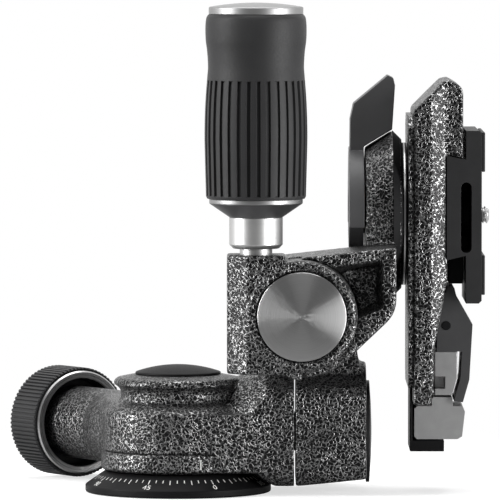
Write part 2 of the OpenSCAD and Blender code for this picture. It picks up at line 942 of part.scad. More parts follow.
module tilt_cap() {
  color("lightgray")
    translate([tilt_x, bracket_y + 1, tilt_z])
      rotate([90, 0, 0])
        dome(tilt_cap_r, ring_rise + 1 + tilt_cap_t, ring_rise + 1.6);
}

module far_cap() {
  color("dimgray")
    translate([tilt_x, far_out, tilt_z])
      rotate([-90, 0, 0])
        dome(tilt_cap_r, far_cap_t, 0.8);
}

module top_bushes() {
  color("goldenrod") {
    x_tube(top_r + top_bush_wall, top_r + fit, cone_x, cone_x + top_bush_len, 0, top_z);
    x_tube(top_r + top_bush_wall, top_r + fit, cone_face_x - top_bush_len, cone_face_x, 0, top_z);
  }
}

module slip_ring() {
  color("white")
    x_tube(slip_r, slip_r - 5, slip_x, slip_end, 0, top_z);
}

module handle_rod() {
  color("silver")
    translate([handle_x, handle_y, rod_seat + 2 * gap])
      cylinder(r = rod_r, h = grip_top - 3 - rod_seat - 2 * gap);
}

module handle_neck() {
  chamfer = 1.4;
  color("silver")
    translate([handle_x, handle_y, neck_z])
      rotate_extrude()
        polygon([
          [rod_r, 0], [neck_r - chamfer, 0], [neck_r, chamfer], [neck_r, neck_len], [rod_r, neck_len]
        ]);
}

module handle_core() {
  color("gray")
    translate([handle_x, handle_y, neck_top])
      rotate_extrude()
        polygon([[rod_r, 0], [neck_r, 0], [core_r, core_h], [rod_r, core_h]]);
}

module handle_collar() {
  color("white")
    translate([handle_x, handle_y, collar_z])
      tube(core_r, rod_r, collar_h);
}

// Outline of the grip: bulged, drawn in under its shoulder and rounded at the top
function grip_profile() = [
  [rod_r, 0], [grip_r - 0.9, 0], [grip_r - 0.5, 0.8],
  [grip_r - 0.15, grip_len * 0.22], [grip_r, grip_len * 0.36], [grip_r - 0.3, grip_len * 0.52],
  [grip_r - 0.95, grip_len * 0.66], [grip_r - 1.2, grip_len * 0.72],
  [grip_r - 0.9, grip_len * 0.8], [grip_r - 0.4, grip_len * 0.86],
  [grip_r - 0.3, grip_len * 0.93], [grip_r - 0.6, grip_len * 0.98],
  [grip_r - 1.4, grip_len], [rod_r, grip_len]
];

module handle_grip() {
  color("#333333")
    translate([handle_x, handle_y, grip_z])
      rotate_extrude()
        polygon(grip_profile());
}

module handle_end_cap() {
  color("silver")
    translate([handle_x, handle_y, grip_top])
      dome(grip_r - 1.45, end_cap_rise, 2.6);
}

module tilt_brake_shoe() {
  color("tan")
    translate([handle_x, handle_y, rod_seat - brake_len + gap])
      cylinder(r = rod_r - 1, h = brake_len - gap);
}

module lock_lever() {
  paddle_half = 7.5;
  drop = 4;
  tip_z = top_z + paddle_reach;
  tip_x = cone_edge_x + 0.6;
  color("black")
    difference() {
      union() {
        // upper part of the ring
        intersection() {
          x_rod(lever_ring_r, lever_x, lever_x + lever_t, 0, top_z);
          translate([lever_x - 1, -lever_ring_r - 1, top_z - drop])
            cube([lever_t + 2, 2 * lever_ring_r + 2, lever_ring_r + drop + 1]);
        }
        x_rod(top_nut_r + 3, lever_x, lever_x + lever_t, 0, top_z);
        // paddle that leans out over the cone
        y_prism([
          [lever_x + 0.2, top_z + paddle_root], [lever_x + 0.4, top_z + paddle_knee],
          [lever_x + 1.6, top_z + paddle_bend],
          [tip_x - 2, tip_z + 1.6], [tip_x, tip_z + 0.6], [tip_x + 0.6, tip_z - 2],
          [tip_x - 0.4, top_z + cone_r + 1.5 * gap], [lever_x + lever_t, top_z + cone_back_r + gap],
          [lever_x + lever_t, top_z + paddle_root]
        ], -paddle_half, paddle_half);
      }
      x_rod(top_r + 0.08, lever_x - 1, lever_x + lever_t + 1, 0, top_z);
      x_rod(top_nut_r + gap, lever_x - 1, lever_x + top_nut_h + 2 * gap, 0, top_z);
    }
}

module top_spindle() {
  color("lightsteelblue") {
    x_rod(top_r, lever_x + gap, seat_x - 4, 0, top_z);
  }
}

module top_nut() {
  color("silver")
    x_tube(top_nut_r, top_r, lever_x + gap, lever_x + gap + top_nut_h, 0, top_z);
}

// Outline of the platform: ramp and hook at the top, seat, bulge, slim lower end
function platform_outline() = [
  [plat_x, top_z + ramp_rise], [seat_x - 1.1, plat_top - 0.5], [seat_x + 1.5, plat_top],
  [seat_x + hook_t - 1, plat_top - 2.2], [seat_x + hook_t, plat_top - 4],
  [seat_x + hook_t, foot_high + 10], [seat_x + hook_t, foot_high + gap - foot_undercut],
  [seat_x, foot_high + gap], [seat_x, bulge_z + 1.2], [seat_x + 0.8, bulge_z],
  [seat_x + 0.8, bulge_low], [waist_x + 3.2, pivot_z + 2.4], [waist_x + 1.5, pivot_z - 6],
  [waist_x + 1.2, pivot_z - 9], [waist_x + 1.2, pivot_z - 18],
  [waist_x, plat_bottom], [plat_x, plat_bottom]
];

module platform() {
  side_chamfer = 5;
  pocket_back = seat_x - 5.4;
  color("gray")
    difference() {
      y_prism(platform_outline(), -plat_half, plat_half);
      // chamfers along the two sides
      for (s = [-1, 1])
          mirror([0, s > 0 ? 1 : 0, 0])
            translate([0, 0, plat_bottom - 1])
              linear_extrude(height = plat_top - plat_bottom + 2)
                polygon([
                  [seat_x - side_chamfer, -plat_half - 1], [seat_x + 20, -plat_half - 1],
                  [seat_x + 20, -plat_half + side_chamfer * 0.6],
                  [seat_x, -plat_half + side_chamfer * 0.6], [seat_x - side_chamfer, -plat_half]
                ]);
      // room for the lever and its cam
      translate([pocket_back, -lever_half - gap, pivot_z - 4.6])
        cube([20, 2 * (lever_half + gap), jaw_low + 0.2 - pivot_z + 4.6]);
      // guide slot of the movable jaw
      translate([pocket_back, -6 - gap, jaw_low - jaw_travel - gap])
        cube([20, 2 * (6 + gap), foot_low - jaw_low + jaw_travel]);
      // seat of the turntable spindle
      x_rod(top_r, plat_x - 1, seat_x - 4, 0, top_z);
      for (y = [-1, 1], z = platform_screw_z())
        x_rod(m3_r, plat_x - 1, plat_x + 6, y * platform_screw_y(), z);
    }
}

// Places of the screws that hold the back plate
function platform_screw_y() = plat_half - 9;
function platform_screw_z() = [top_z - 30, top_z + 30];

module platform_back_plate() {
  edge = 4;
  half = plat_half - 1;
  low = plat_bottom + 6;
  high = top_z + back_plate_rise;
  color("dimgray")
    difference() {
      translate([plat_back_x, 0, 0])
        rotate([90, 0, 90])
          linear_extrude(height = back_t)
            polygon([
              [-half + edge, low], [half - edge, low], [half, low + edge], [half, high - edge],
              [half - edge, high], [-half + edge, high], [-half, high - edge], [-half, low + edge]
            ]);
      x_rod(top_r, plat_back_x - 1, plat_x + 1, 0, top_z);
      for (y = [-1, 1], z = platform_screw_z()) {
        x_rod(m3_r, plat_back_x - 1, plat_x + 1, y * platform_screw_y(), z);
        x_rod(m3_head_r, plat_back_x - 1, plat_back_x + 1, y * platform_screw_y(), z);
      }
    }
}

module platform_screws() {
  color("silver")
    for (y = [-1, 1], z = platform_screw_z()) {
      x_rod(m3_r, plat_back_x + 0.2, plat_x + 6, y * platform_screw_y(), z);
      x_rod(m3_head_r, plat_back_x + 0.2, plat_back_x + 1, y * platform_screw_y(), z);
    }
}

module hinge_block() {
  half = 4;
  round_r = 3.2;
  back = seat_x - 5.4;
  color("dimgray")
    difference() {
      union() {
        translate([back, -half, pivot_z - round_r])
          cube([pivot_x - back, 2 * half, 2 * round_r]);
        y_rod(round_r, -half, half, pivot_x, pivot_z);
      }
      y_rod(pin_r, -half - 1, half + 1, pivot_x, pivot_z);
    }
}

module lever_pin() {
  color("silver")
    y_rod(pin_r, -lever_half - 0.3, lever_half + 0.3, pivot_x, pivot_z);
}

module movable_jaw() {
  tongue_half = 6;
  tongue_back = seat_x - 4.4;
  high = foot_low - gap;
  color("silver")
    union() {
      y_prism([
        [jaw_x, jaw_low], [plate_x - 0.6, jaw_low], [plate_x - 0.6, high + foot_undercut], [jaw_x, high]
      ], -jaw_half, jaw_half);
      y_prism([
        [tongue_back, jaw_low + 0.6], [jaw_x + join, jaw_low + 0.6],
        [jaw_x + join, high - 2.4], [tongue_back, high - 2.4]
      ], -tongue_half, tongue_half);
    }
}

// Side wall of the lever, from the cam at its top to the end of the cheek
function lever_cheek() = [
  [pivot_x + cam_out - neck_cam_r, pivot_z + cam_up], [pivot_x - 0.6, pivot_z + cam_up - 2.2],
  [pivot_x - 3.2, pivot_z - 1], [pivot_x - 3.3, cheek_low], [pivot_x + 6.2, cheek_low],
  [pivot_x + lever_out, pivot_z + 0.4], [pivot_x + 3.7, pivot_z + cam_up - 2.2],
  [pivot_x + cam_out + neck_cam_r, pivot_z + cam_up]
];

// Outer wall of the lever, seen from the side
function lever_outer() = [
  [pivot_x + 3.7, pivot_z + cam_up - 2.2], [pivot_x + lever_out, pivot_z + 0.4],
  [pivot_x + lever_out - 1.1, pivot_z - 19.2], [pivot_x + 6, lever_end],
  [pivot_x + 6 - lever_wall, lever_end + 0.4], [pivot_x + lever_out - 1.1 - lever_wall, pivot_z - 18.8],
  [pivot_x + lever_out - lever_wall, pivot_z], [pivot_x + 3, pivot_z + cam_up - 4.2]
];

module qr_lever() {
  color("dimgray")
    difference() {
      union() {
        for (s = [-1, 1])
          y_prism(lever_cheek(),
            s > 0 ? lever_half - lever_wall : -lever_half,
            s > 0 ? lever_half : lever_wall - lever_half);
        y_prism(lever_outer(), -lever_half, lever_half);
        y_rod(neck_cam_r, -lever_half, lever_half, pivot_x + cam_out, pivot_z + cam_up);
      }
      y_rod(pin_r + fit, -lever_half - 1, lever_half + 1, pivot_x, pivot_z);
    }
}

module lever_tongue() {
  half = lever_half - 0.4;
  left = pivot_x - tongue_in;
  hole = 3.6;
  notch = 4;
  color("silver")
    difference() {
      y_prism([
        [left, tongue_low], [left + 6, tongue_low], [left + 6.8, tongue_low + 1],
        [left + 8.2, tongue_low + 6], [left + 8.2, cheek_low], [left, cheek_low]
      ], -half, half);
      // notch in each end
      for (s = [-1, 1])
        translate([left - 1, s > 0 ? half - notch : -half - 1, tongue_low + 2.4])
          cube([hole + 1, notch + 1, hole + 0.6]);
    }
}

module safety_catch() {
  wall = 1;
  pin_x = catch_x + catch_pin_in;
  pin_z = (catch_low + catch_mid) / 2;
  color("silver")
    difference() {
      y_prism([
        [catch_x + wall, catch_low], [catch_out - 2.6, catch_low], [catch_out - 1, catch_low + 1],
        [catch_out, catch_mid - 2], [catch_out - 0.8, catch_mid], [pivot_x + 2.4, catch_mid],
        [pivot_x + 2.4, catch_high - 0.6], [pivot_x + 1.8, catch_high], [pivot_x - 4.4, catch_high],
        [pivot_x - 5, catch_high - 0.6], [pivot_x - 5, catch_mid], [catch_x + wall, catch_mid],
        [catch_x, catch_mid - 1], [catch_x, catch_low + 1]
      ], -catch_half, catch_half);
      y_rod(catch_pin_r + fit, 0.6 - catch_half + 3, catch_half + 1, pin_x, pin_z);
      y_rod(spring_r() + gap, catch_half - 8, catch_half + 1, pin_x, pin_z);
    }
}

// Outer radius of the catch spring
function spring_r() = catch_pin_r + 1.2;
// Near face of the ear that carries the catch pin
function ear_y() = catch_half + catch_travel + gap;

module catch_spring() {
  color("silver")
    y_tube(spring_r(), catch_pin_r + 0.2, catch_half - 8 + catch_travel + gap, ear_y(),
      catch_x + catch_pin_in, (catch_low + catch_mid) / 2);
}

module catch_bracket() {
  ear_t = 2;
  out = catch_x + catch_shelf;
  shelf_top = catch_low - gap;
  color("black")
    difference() {
      union() {
        translate([plat_x - bracket_t, -catch_half, bracket_low])
          cube([bracket_t, catch_half + ear_y() + ear_t, plat_bottom + 6 - bracket_low]);
        translate([plat_x - bracket_t, -catch_half, bracket_low])
          cube([out - plat_x + bracket_t, catch_half + ear_y() + ear_t, shelf_top - bracket_low]);
        translate([plat_x - bracket_t, ear_y(), bracket_low])
          cube([out - plat_x + bracket_t, ear_t, catch_mid - bracket_low]);
      }
      y_rod(catch_pin_r, ear_y() - 1, ear_y() + ear_t + 1, catch_x + catch_pin_in,
        (catch_low + catch_mid) / 2);
    }
}

module catch_pin() {
  color("silver")
    y_rod(catch_pin_r, 4 - catch_half + catch_travel, ear_y() + 2, catch_x + catch_pin_in,
      (catch_low + catch_mid) / 2);
}

// Height and slot of the camera screw
function screw_z() = top_z - 0.4;
function slot_x0() = plate_x - 1.8;
function slot_x1() = plate_x + 2;

module qr_plate() {
  slot_low = screw_z() - 12.5;
  slot_high = screw_z() + 12.5;
  slot_r = (slot_x1() - slot_x0()) / 2;
  edge = 1;
  color("dimgray")
    difference() {
      union() {
        y_prism([
          [foot_x, foot_low], [plate_x + join, foot_low + foot_undercut],
          [plate_x + join, foot_high - foot_undercut], [foot_x, foot_high]
        ], -plate_half, plate_half);
        y_prism([
          [plate_x, plate_low], [plate_face - edge, plate_low], [plate_face, plate_low + edge],
          [plate_face, plate_high - edge], [plate_face - edge, plate_high], [plate_x, plate_high]
        ], -plate_half, plate_half);
      }
      // slot of the screw, with round ends
      translate([slot_x0(), -plate_half - 1, slot_low + slot_r])
        cube([2 * slot_r, plate_half + 13, slot_high - slot_low - 2 * slot_r]);
      for (z = [slot_low + slot_r, slot_high - slot_r])
        y_rod(slot_r, -plate_half - 1, 12, slot_x0() + slot_r, z);
      x_rod(screw_r + 0.1, slot_x0() + 1, plate_face + 1, 0, screw_z());
    }
}

module plate_pads() {
  pad_w = 14;
  pad_t = 1.2;
  pad_half = plate_half - 1.4;
  color("#222222")
    for (z = [plate_low + 3, plate_high - pad_w - 0.6])
      translate([plate_face, -pad_half, z])
        cube([pad_t, 2 * pad_half, pad_w]);
}

module camera_screw() {
  head_r = 8;
  // thinner between the head and the thread, so that the screw stays in its slot
  relief = 0.6;
  reach = 3.3;
  color("silver") {
    x_rod(head_r, slot_x0() + gap, slot_x1() - gap, 0, screw_z());
    x_rod(screw_r - relief, slot_x1() - gap - join, plate_face + join, 0, screw_z());
    x_rod(screw_r, plate_face, plate_face + reach, 0, screw_z());
  }
}

base_disc();
tripod_bush();
base_screws();
pan_spindle();
pan_drum();
pan_nut();
pan_bushes();
pan_housing();
pan_ring();
pan_cap();
pan_knob_grip();
pan_knob_ring();
pan_knob_stem();
pan_brake_shoe();
roll_shaft();
roll_drum();
roll_nut();
roll_bushes();
side_yoke();
roll_end_cap();
roll_knob();
roll_knob_stem();
roll_brake_shoe();
tilt_bushes();
tilt_shaft();
tilt_drum();
tilt_nut();
tilt_arm();
far_cheek();
cheek_screws();
handle_bracket();
tilt_cap();
far_cap();
top_bushes();
slip_ring();
handle_rod();
handle_neck();
handle_core();
handle_collar();
handle_grip();
handle_end_cap();
tilt_brake_shoe();
lock_lever();
top_spindle();
top_nut();
platform();
platform_back_plate();
platform_screws();
hinge_block();
lever_pin();
movable_jaw();
qr_lever();
lever_tongue();
safety_catch();
catch_spring();
catch_bracket();
catch_pin();
qr_plate();
plate_pads();
camera_screw();
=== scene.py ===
"""Fluid video head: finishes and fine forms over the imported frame, with a plain studio stage.

Lengths in the panel are in metres. Code that draws fine forms works in millimetres (MM).
"""

import json
import math

import bmesh
import bpy
from bpy.props import FloatProperty, IntProperty, PointerProperty, StringProperty
from mathutils import Matrix, Vector


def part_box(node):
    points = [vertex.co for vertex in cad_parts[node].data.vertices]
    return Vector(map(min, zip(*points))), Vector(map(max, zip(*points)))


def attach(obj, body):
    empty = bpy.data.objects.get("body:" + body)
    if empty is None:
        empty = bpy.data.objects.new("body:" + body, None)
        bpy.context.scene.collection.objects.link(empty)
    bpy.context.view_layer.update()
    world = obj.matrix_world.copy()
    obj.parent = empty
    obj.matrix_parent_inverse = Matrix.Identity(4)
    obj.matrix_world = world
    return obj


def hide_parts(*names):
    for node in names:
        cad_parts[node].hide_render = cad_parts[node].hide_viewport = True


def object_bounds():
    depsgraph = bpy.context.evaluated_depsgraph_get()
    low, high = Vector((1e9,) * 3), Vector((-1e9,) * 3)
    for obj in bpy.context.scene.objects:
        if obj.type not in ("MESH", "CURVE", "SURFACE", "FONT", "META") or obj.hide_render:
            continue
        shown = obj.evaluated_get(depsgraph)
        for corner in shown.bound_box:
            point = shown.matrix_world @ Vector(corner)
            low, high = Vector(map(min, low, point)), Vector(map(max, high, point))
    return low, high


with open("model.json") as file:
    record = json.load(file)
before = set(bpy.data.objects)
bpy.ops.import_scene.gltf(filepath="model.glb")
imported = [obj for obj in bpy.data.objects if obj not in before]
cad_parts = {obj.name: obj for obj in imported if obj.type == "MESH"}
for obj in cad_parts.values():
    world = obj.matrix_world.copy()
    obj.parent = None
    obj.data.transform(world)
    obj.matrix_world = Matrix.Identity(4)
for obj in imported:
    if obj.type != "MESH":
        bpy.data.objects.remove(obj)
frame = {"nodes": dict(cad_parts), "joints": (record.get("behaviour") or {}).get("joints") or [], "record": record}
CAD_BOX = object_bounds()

bl_info = {
    "name": "Fluid video head",
    "version": (1, 0, 0),
    "blender": (4, 5, 0),
    "location": "View3D > Sidebar > Video Head",
    "description": "Dresses a fluid video head: castings, knob, handle, plate clamp and stage",
    "category": "Add Mesh",
}

MM = 0.001
Z = Vector((0, 0, 1))
JOINTS = {joint["name"]: joint for joint in frame["joints"]}


# Sizes and colours that a user would change

class HeadSizes(bpy.types.PropertyGroup):
    """Sizes of the fine forms that are drawn over the frame."""

    casting_grain: FloatProperty(
        name="Casting grain", description="Size of the cells that round a casting's edges",
        default=0.6 * MM, min=0.4 * MM, max=1.5 * MM, unit="LENGTH", precision=5)
    knob_ribs: IntProperty(
        name="Knob ribs", description="Grip ribs round the pan knob", default=80, min=24, max=120)
    rib_depth: FloatProperty(
        name="Rib depth", description="Depth of the grooves between the knob's ribs",
        default=0.55 * MM, min=0.2 * MM, max=1.0 * MM, unit="LENGTH", precision=5)
    grip_flutes: IntProperty(
        name="Grip flutes", description="Grooves along the handle's rubber grip",
        default=32, min=12, max=48)
    flute_depth: FloatProperty(
        name="Flute depth", description="Depth of the grooves in the rubber",
        default=0.8 * MM, min=0.3 * MM, max=1.5 * MM, unit="LENGTH", precision=5)
    flute_length: FloatProperty(
        name="Flute length", description="Length of the grooves, from the bottom of the grip",
        default=41.5 * MM, min=20 * MM, max=60 * MM, unit="LENGTH", precision=5)
    scale_step: FloatProperty(
        name="Scale step", description="Angle between two marks of the pan scale",
        default=math.radians(5), min=math.radians(2), max=math.radians(15), subtype="ANGLE")
    mark_width: FloatProperty(
        name="Mark width", description="Width of a mark on the pan scale",
        default=0.32 * MM, min=0.15 * MM, max=0.6 * MM, unit="LENGTH", precision=5)
    numeral_height: FloatProperty(
        name="Numeral height", description="Height of the numerals on the pan scale",
        default=2.3 * MM, min=1.5 * MM, max=4 * MM, unit="LENGTH", precision=5)
    thread_pitch: FloatProperty(
        name="Thread pitch", description="Pitch of the camera screw, 20 threads to the inch",
        default=1.27 * MM, min=0.8 * MM, max=1.6 * MM, unit="LENGTH", precision=6)


class HeadColours(bpy.types.PropertyGroup):
    """Colours of the finishes, as sRGB hex values."""

    paint_dark: StringProperty(
        name="Paint", description="Ground of the hammertone paint", default="#070708")
    paint_vein: StringProperty(
        name="Vein", description="Silver vein of the hammertone paint", default="#9A9A9A")
    rubber: StringProperty(
        name="Rubber", description="Rubber of the handle's grip", default="#222223")
    plastic: StringProperty(
        name="Plastic", description="Nylon of the knobs and the end cap", default="#1F1F20")
    anodised: StringProperty(
        name="Black anodise", description="Black anodised aluminium", default="#0E0E0F")
    plate_grey: StringProperty(
        name="Plate", description="Hard anodised plate", default="#262627")
    # the lock lever's grey is paler than its black nylon: the nylon's own colour with painted sheen on top
    lever_grey: StringProperty(
        name="Levers", description="Nylon of the lock lever", default="#4A4A4B")
    bare_metal: StringProperty(
        name="Bare metal", description="Turned aluminium of the handle", default="#BEBEBD")
    print_white: StringProperty(
        name="Print", description="Filled marks of the pan scale", default="#E8E8E6")


class StageSettings(bpy.types.PropertyGroup):
    """Floor, lamps and camera."""

    floor: StringProperty(name="Floor", description="Colour of the floor", default="#CFCFCF")
    floor_reach: FloatProperty(
        name="Floor reach", description="Radius at which the floor has faded into the surround",
        default=0.3, min=0.15, max=2.0, unit="LENGTH")
    left_power: FloatProperty(
        name="Left lamp", description="Power of the tall lamp at the left", default=19.0, min=0.0,
        unit="POWER")
    right_power: FloatProperty(
        name="Right lamp", description="Power of the tall lamp at the right", default=20.0, min=0.0,
        unit="POWER")
    top_power: FloatProperty(
        name="Top lamp", description="Power of the wide lamp overhead", default=14.0, min=0.0,
        unit="POWER")
    front_power: FloatProperty(
        name="Front lamp", description="Power of the lamp above the camera", default=1.6, min=0.0,
        unit="POWER")
    fill: FloatProperty(
        name="Fill", description="Light of the surround on matt surfaces", default=0.06, min=0.0, max=1.0)
    focal: FloatProperty(
        name="Focal length", description="Focal length of the camera", default=490.9 * MM, min=0.05,
        unit="LENGTH", precision=4)


# Helpers

SLIVER = 0.0005 * MM  # an edge shorter than this is taken out
JOIN = 0.001 * MM  # points of a spun or cut form nearer than this are one
WELD = 0.002 * MM  # points of a CAD copy nearer than this are one
FLAT = math.radians(0.5)  # faces that turn less than this are one
SHARP = math.radians(25)  # an edge that turns more than this is rounded


def sizes():
    """The sizes that the panel shows."""
    return bpy.context.scene.head_sizes


def colours():
    """The colours that the panel shows."""
    return bpy.context.scene.head_colours


def linear(code, alpha=1.0):
    """An sRGB hex value as linear red, green, blue and alpha."""
    parts = [int(code[i:i + 2], 16) / 255 for i in (1, 3, 5)]
    return [c / 12.92 if c <= 0.04045 else ((c + 0.055) / 1.055) ** 2.4 for c in parts] + [alpha]


def add_node(tree, kind, settings=None, **links):
    """Adds a node. settings go to its attributes, or to the socket of that name; stops holds the places and
    tones of a colour ramp, each tone a hex value or a grey level. links feed its sockets, from a socket or
    from the first output of a node. A fed socket is named by its label, with _ for a space, or by in0, in1,
    in2 for its place."""
    made = tree.nodes.new(kind)
    for key, value in (settings or {}).items():
        if key == "stops":
            for stop, (place, tone) in zip(made.color_ramp.elements, value):
                stop.position = place
                stop.color = linear(tone) if isinstance(tone, str) else (tone, tone, tone, 1)
        elif isinstance(key, int) or key in made.inputs:
            made.inputs[key].default_value = value
        else:
            setattr(made, key, value)
    for key, source in links.items():
        place = int(key[2:]) if key[:2] == "in" and key[2:].isdigit() else key.replace("_", " ")
        output = source.outputs[0] if isinstance(source, bpy.types.Node) else source
        tree.links.new(output, made.inputs[place])
    return made


def new_material(name):
    """An empty material, its tree and its millimetre coordinates."""
    material = bpy.data.materials.new(name)
    material.use_nodes = True
    tree = material.node_tree
    tree.nodes.clear()
    where = add_node(tree, "ShaderNodeTexCoord").outputs["Object"]
    mm = add_node(tree, "ShaderNodeVectorMath", {"operation": "SCALE", "Scale": 1 / MM}, in0=where)
    return material, tree, mm


def finish_material(tree, settings, **links):
    """The surface shader and the output."""
    shader = add_node(tree, "ShaderNodeBsdfPrincipled", settings, **links)
    add_node(tree, "ShaderNodeOutputMaterial", Surface=shader)


def place_piece(name, mesh, body, slot, material, *nodes):
    """Links a finished mesh as a piece that rides on a body and stands for CAD nodes."""
    piece = bpy.data.objects.new(name, mesh)
    bpy.context.scene.collection.objects.link(piece)
    mesh.materials.clear()
    mesh.materials.append(material)
    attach(piece, body)
    if nodes:
        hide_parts(*nodes)
    return piece


def evaluated(thing):
    """A new mesh of an object as its modifiers leave it."""
    graph = bpy.context.evaluated_depsgraph_get()
    return bpy.data.meshes.new_from_object(thing.evaluated_get(graph))


def mesh_from(bm, name, smooth_angle=35):
    """A mesh from a bmesh, smooth but for edges that turn more than the angle."""
    bmesh.ops.dissolve_degenerate(bm, dist=SLIVER, edges=bm.edges)
    for face in bm.faces:
        face.smooth = True
    for edge in bm.edges:
        edge.smooth = len(edge.link_faces) == 2 and edge.calc_face_angle(0) < math.radians(smooth_angle)
    mesh = bpy.data.meshes.new(name)
    bm.to_mesh(mesh)
    bm.free()
    # large flats keep one normal each, so that rounded edges don't shade across them
    holder = bpy.data.objects.new(name, mesh)
    bpy.context.scene.collection.objects.link(holder)
    flats = holder.modifiers.new("flats", "WEIGHTED_NORMAL")
    flats.keep_sharp = True
    done = evaluated(holder)
    bpy.data.objects.remove(holder)
    bpy.data.meshes.remove(mesh)
    done.name = name
    return done


def merged_copy(node):
    """A bmesh copy of a CAD node, its loose triangles joined."""
    bm = bmesh.new()
    bm.from_mesh(frame["nodes"][node].data)
    bmesh.ops.remove_doubles(bm, verts=bm.verts, dist=WELD)
    return bm


def round_edges(bm, width):
    """Rounds the sharp edges of a closed form. The width is in millimetres."""
    sharp = [e for e in bm.edges if len(e.link_faces) == 2 and e.calc_face_angle(0) > SHARP]
    bmesh.ops.bevel(bm, geom=sharp, offset=width * MM, offset_type="OFFSET", affect="EDGES",
                    segments=3, profile=0.5, material=-1, clamp_overlap=True)


def eased(node, width):
    """A copy of a CAD node with its flat areas as single faces and its sharp edges rounded."""
    bm = merged_copy(node)
    bmesh.ops.dissolve_limit(bm, angle_limit=FLAT, verts=bm.verts, edges=bm.edges)
    round_edges(bm, width)
    return bm


def turned(profile, steps=96, rounding=0.0):
    """A turned form: a closed profile of (radius, height) in millimetres, spun about Z.
    A point at radius 0 closes the form on its axis. rounding bevels the rings that turn sharply."""
    bm = bmesh.new()
    points = [bm.verts.new((r * MM, 0, z * MM)) for r, z in profile]
    closed = profile[0][0] > 0 and profile[-1][0] > 0
    chain = list(zip(points, points[1:])) + ([(points[-1], points[0])] if closed else [])
    edges = [bm.edges.new(pair) for pair in chain]
    bmesh.ops.spin(bm, geom=points + edges, cent=(0, 0, 0), axis=(0, 0, 1), angle=2 * math.pi,
                   steps=steps, use_merge=True)
    bmesh.ops.remove_doubles(bm, verts=bm.verts, dist=JOIN)
    bmesh.ops.recalc_face_normals(bm, faces=bm.faces)
    if rounding:
        round_edges(bm, rounding)
    return bm


def stand(bm, origin, axis):
    """Moves a form that was drawn along +Z to a point, along an axis."""
    turn = Vector(axis).to_track_quat("Z", "Y").to_matrix().to_4x4()
    bmesh.ops.transform(bm, verts=bm.verts, matrix=Matrix.Translation(origin) @ turn)


# Finishes. Pattern sizes are in millimetres; what is too fine for the picture is drawn coarser and says so.

def hammertone_paint():
    """Stoved hammertone enamel on castings: black ground broken by a raised silver vein, glossy on top.
    The vein closes round cells some one and a half millimetres wide and is broken here and there."""
    cell, wander, pull, break_size, blotch, dimple = 1.35, 1.8, 2.5, 1.1, 9.0, 2.6
    material, tree, mm = new_material("hammertone_enamel")

    # cells with bent walls
    drift = add_node(tree, "ShaderNodeTexNoise", {"Scale": 1 / wander, "Detail": 2.0}, Vector=mm)
    centred = add_node(tree, "ShaderNodeVectorMath", {"operation": "SUBTRACT", 1: (0.5, 0.5, 0.5)},
                       in0=drift.outputs["Color"])
    pulled = add_node(tree, "ShaderNodeVectorMath", {"operation": "SCALE", "Scale": pull}, in0=centred)
    bent = add_node(tree, "ShaderNodeVectorMath", {"operation": "ADD"}, in0=mm, in1=pulled)
    cells = add_node(tree, "ShaderNodeTexVoronoi", {"feature": "DISTANCE_TO_EDGE", "Scale": 1 / cell},
                     Vector=bent)
    vein = add_node(tree, "ShaderNodeValToRGB", {"stops": ((0.02, 1.0), (0.13, 0.0))}, Fac=cells)

    # the vein is broken here and there, and richer in some places than in others
    breaks = add_node(tree, "ShaderNodeTexNoise", {"Scale": 1 / break_size, "Detail": 1.0}, Vector=mm)
    kept = add_node(tree, "ShaderNodeValToRGB", {"stops": ((0.36, 0.1), (0.54, 1.0))}, Fac=breaks)
    broken = add_node(tree, "ShaderNodeMath", {"operation": "MULTIPLY"}, in0=vein, in1=kept)
    patches = add_node(tree, "ShaderNodeTexNoise", {"Scale": 1 / blotch, "Detail": 1.0}, Vector=mm)
    richer = add_node(tree, "ShaderNodeValToRGB", {"stops": ((0.35, 0.75), (0.65, 1.0))}, Fac=patches)
    silver = add_node(tree, "ShaderNodeMath", {"operation": "MULTIPLY"}, in0=broken, in1=richer)

    tones = ((0.0, colours().paint_dark), (0.85, colours().paint_vein))
    shade = add_node(tree, "ShaderNodeValToRGB", {"stops": tones}, Fac=silver)
    metal = add_node(tree, "ShaderNodeValToRGB", {"stops": ((0.05, 0.0), (0.5, 1.0))}, Fac=silver)
    rough = add_node(tree, "ShaderNodeValToRGB", {"stops": ((0.0, 0.4), (0.8, 0.26))}, Fac=silver)
    hammered = add_node(tree, "ShaderNodeTexNoise", {"Scale": 1 / dimple, "Detail": 1.0}, Vector=mm)
    height = add_node(tree, "ShaderNodeMath", {"operation": "MULTIPLY_ADD", 1: 2.0}, in0=hammered,
                      in2=silver)
    relief = add_node(tree, "ShaderNodeBump", {"Strength": 0.7, "Distance": 0.12 * MM}, Height=height)
    finish_material(tree, {"Specular IOR Level": 0.18}, Base_Color=shade, Metallic=metal, Roughness=rough,
                    Normal=relief)
    return material


def black_anodise():
    """Black anodised aluminium, turned, blasted and dyed: even satin black with a fine grit."""
    grit_size = 0.6
    material, tree, mm = new_material("black_anodised_aluminium")
    grit = add_node(tree, "ShaderNodeTexNoise", {"Scale": 1 / grit_size, "Detail": 3.0}, Vector=mm)
    tones = ((0.3, colours().anodised), (0.7, "#141415"))
    shade = add_node(tree, "ShaderNodeValToRGB", {"stops": tones}, Fac=grit)
    rough = add_node(tree, "ShaderNodeValToRGB", {"stops": ((0.3, 0.46), (0.7, 0.56))}, Fac=grit)
    relief = add_node(tree, "ShaderNodeBump", {"Strength": 0.08, "Distance": 0.04 * MM}, Height=grit)
    finish_material(tree, {"Metallic": 0.0, "Specular IOR Level": 0.12}, Base_Color=shade, Roughness=rough,
                    Normal=relief)
    return material


